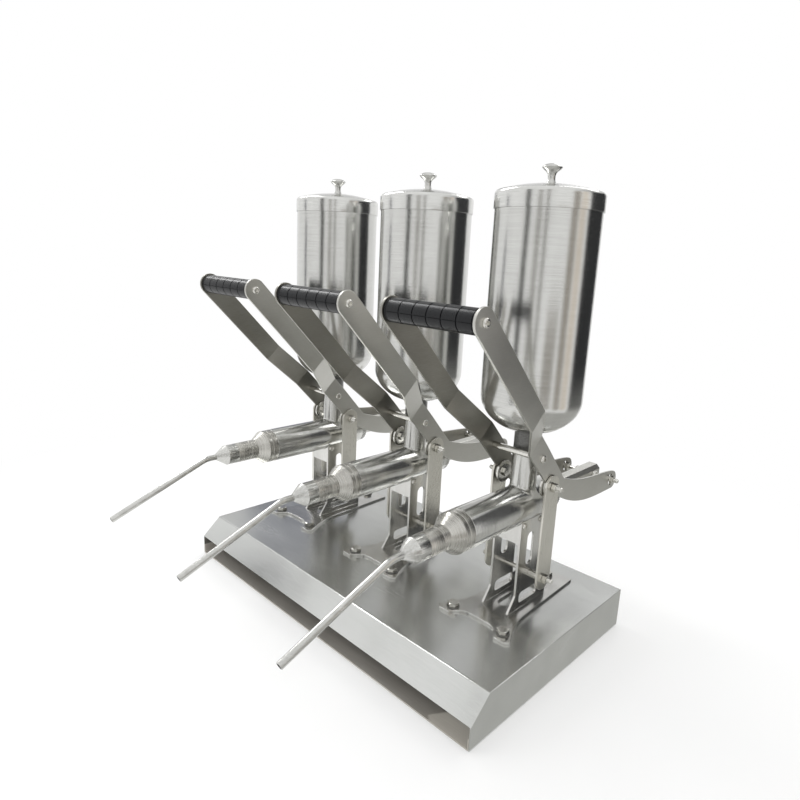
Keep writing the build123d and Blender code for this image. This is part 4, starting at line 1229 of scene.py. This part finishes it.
# grey and black cards round the object, seen only in the metal
cards = [
    # bearing from the front, spread in degrees, distance, height where its foot has faded in, top, colour
    (0, 10, 1.15, 0.0, 1.10, (0.06, 0.06, 0.055)),
    (24, 9, 1.20, 0.0, 0.95, (0.46, 0.45, 0.43)),
    (39, 5, 1.15, 0.0, 1.10, (0.26, 0.25, 0.23)),
    (66, 20, 1.18, 0.0, 0.42, (0.46, 0.44, 0.41)),
    (-54, 6, 1.15, 0.0, 0.68, (0.12, 0.12, 0.14)),
    (89, 12, 1.10, 0.0, 0.90, (0.42, 0.39, 0.35)),
    (104, 12, 1.12, 0.0, 0.90, (0.88, 0.80, 0.71)),
    (139, 50, 0.80, 0.24, 0.82, (0.040, 0.041, 0.043)),
    (-118, 16, 1.15, 0.0, 0.70, (0.27, 0.28, 0.32)),
]
# one grey sheet lies on the floor beside the right end
floorCard = {
    "bearing": 112, "spread": 116, "near": 0.26, "far": 0.80, "height": 0.002, "color": (0.52, 0.52, 0.50),
}


def cardPiece(name, rings, color, fade=0.0):
    mat = bpy.data.materials.new(name + " finish")
    mat.use_nodes = True
    tree = mat.node_tree
    shade = (*color, 1)
    if fade:
        # the foot of the card takes the floor's grey, so that it ends softly
        spot = addNode(tree, "ShaderNodeTexCoord")["Object"]
        height = mapped(tree, addNode(tree, "ShaderNodeSeparateXYZ", {0: spot})["Z"], 0.0, 1.0, 0.0, fade)
        shade = tinted(tree, height, floorCard["color"], color, 0.0, 1.0)
    glow = addNode(tree, "ShaderNodeEmission", {"Color": shade})[0]
    tree.links.new(glow, tree.nodes["Material Output"].inputs["Surface"])
    count = len(rings[0])
    faces = [(k, k + 1, count + k + 1, count + k) for k in range(count - 1)]
    mesh = bpy.data.meshes.new(name)
    mesh.from_pydata(rings[0] + rings[1], [], faces)
    mesh.materials.append(mat)
    piece = newObject(name, mesh)
    piece.visible_camera = False
    piece.visible_diffuse = False
    piece.visible_shadow = False
    piece.visible_transmission = False


def cardEdge(bearing, spread, distance, height):
    steps = max(1, int(spread / 6))
    turns = [math.radians(bearing + spread * (k / steps - 0.5)) for k in range(steps + 1)]
    return [(math.sin(turn) * distance, -math.cos(turn) * distance, height) for turn in turns]


for index, (bearing, spread, distance, fade, top, color) in enumerate(cards):
    edges = [cardEdge(bearing, spread, distance, height) for height in (0.0, top)]
    cardPiece("card" + str(index), edges, color, fade)
sheetEdges = [
    cardEdge(floorCard["bearing"], floorCard["spread"], distance, floorCard["height"])
    for distance in (floorCard["near"], floorCard["far"])
]
cardPiece("floorCard0", sheetEdges, floorCard["color"])

view = {
    "focal": 603.08, "frame": 800.0, "sensor": 36.0, "centreX": 420.16, "centreY": 389.45,
    "yaw": 43.09, "pitch": 12.52, "roll": 3.03, "spot": (568.51, -601.97, 477.91), "nearest": 0.01,
}
camera = bpy.data.cameras.new("camera")
camera.sensor_width = view["sensor"]
camera.lens = view["focal"] / view["frame"] * view["sensor"]
camera.shift_x = (view["frame"] / 2 - view["centreX"]) / view["frame"]
camera.shift_y = (view["centreY"] - view["frame"] / 2) / view["frame"]
camera.clip_start = view["nearest"]
cameraPiece = newObject("camera", camera)
turn = (
    Matrix.Rotation(math.radians(view["yaw"]), 4, "Z")
    @ Matrix.Rotation(math.radians(90 - view["pitch"]), 4, "X")
    @ Matrix.Rotation(math.radians(view["roll"]), 4, "Z")
)
eye = Vector(view["spot"]) + Vector((0, hopperLine, 0))
cameraPiece.matrix_world = Matrix.Translation(eye * mm) @ turn
scene.camera = cameraPiece
scene.view_settings.view_transform = "Standard"

bpy.context.view_layer.update()
print("scene ready")
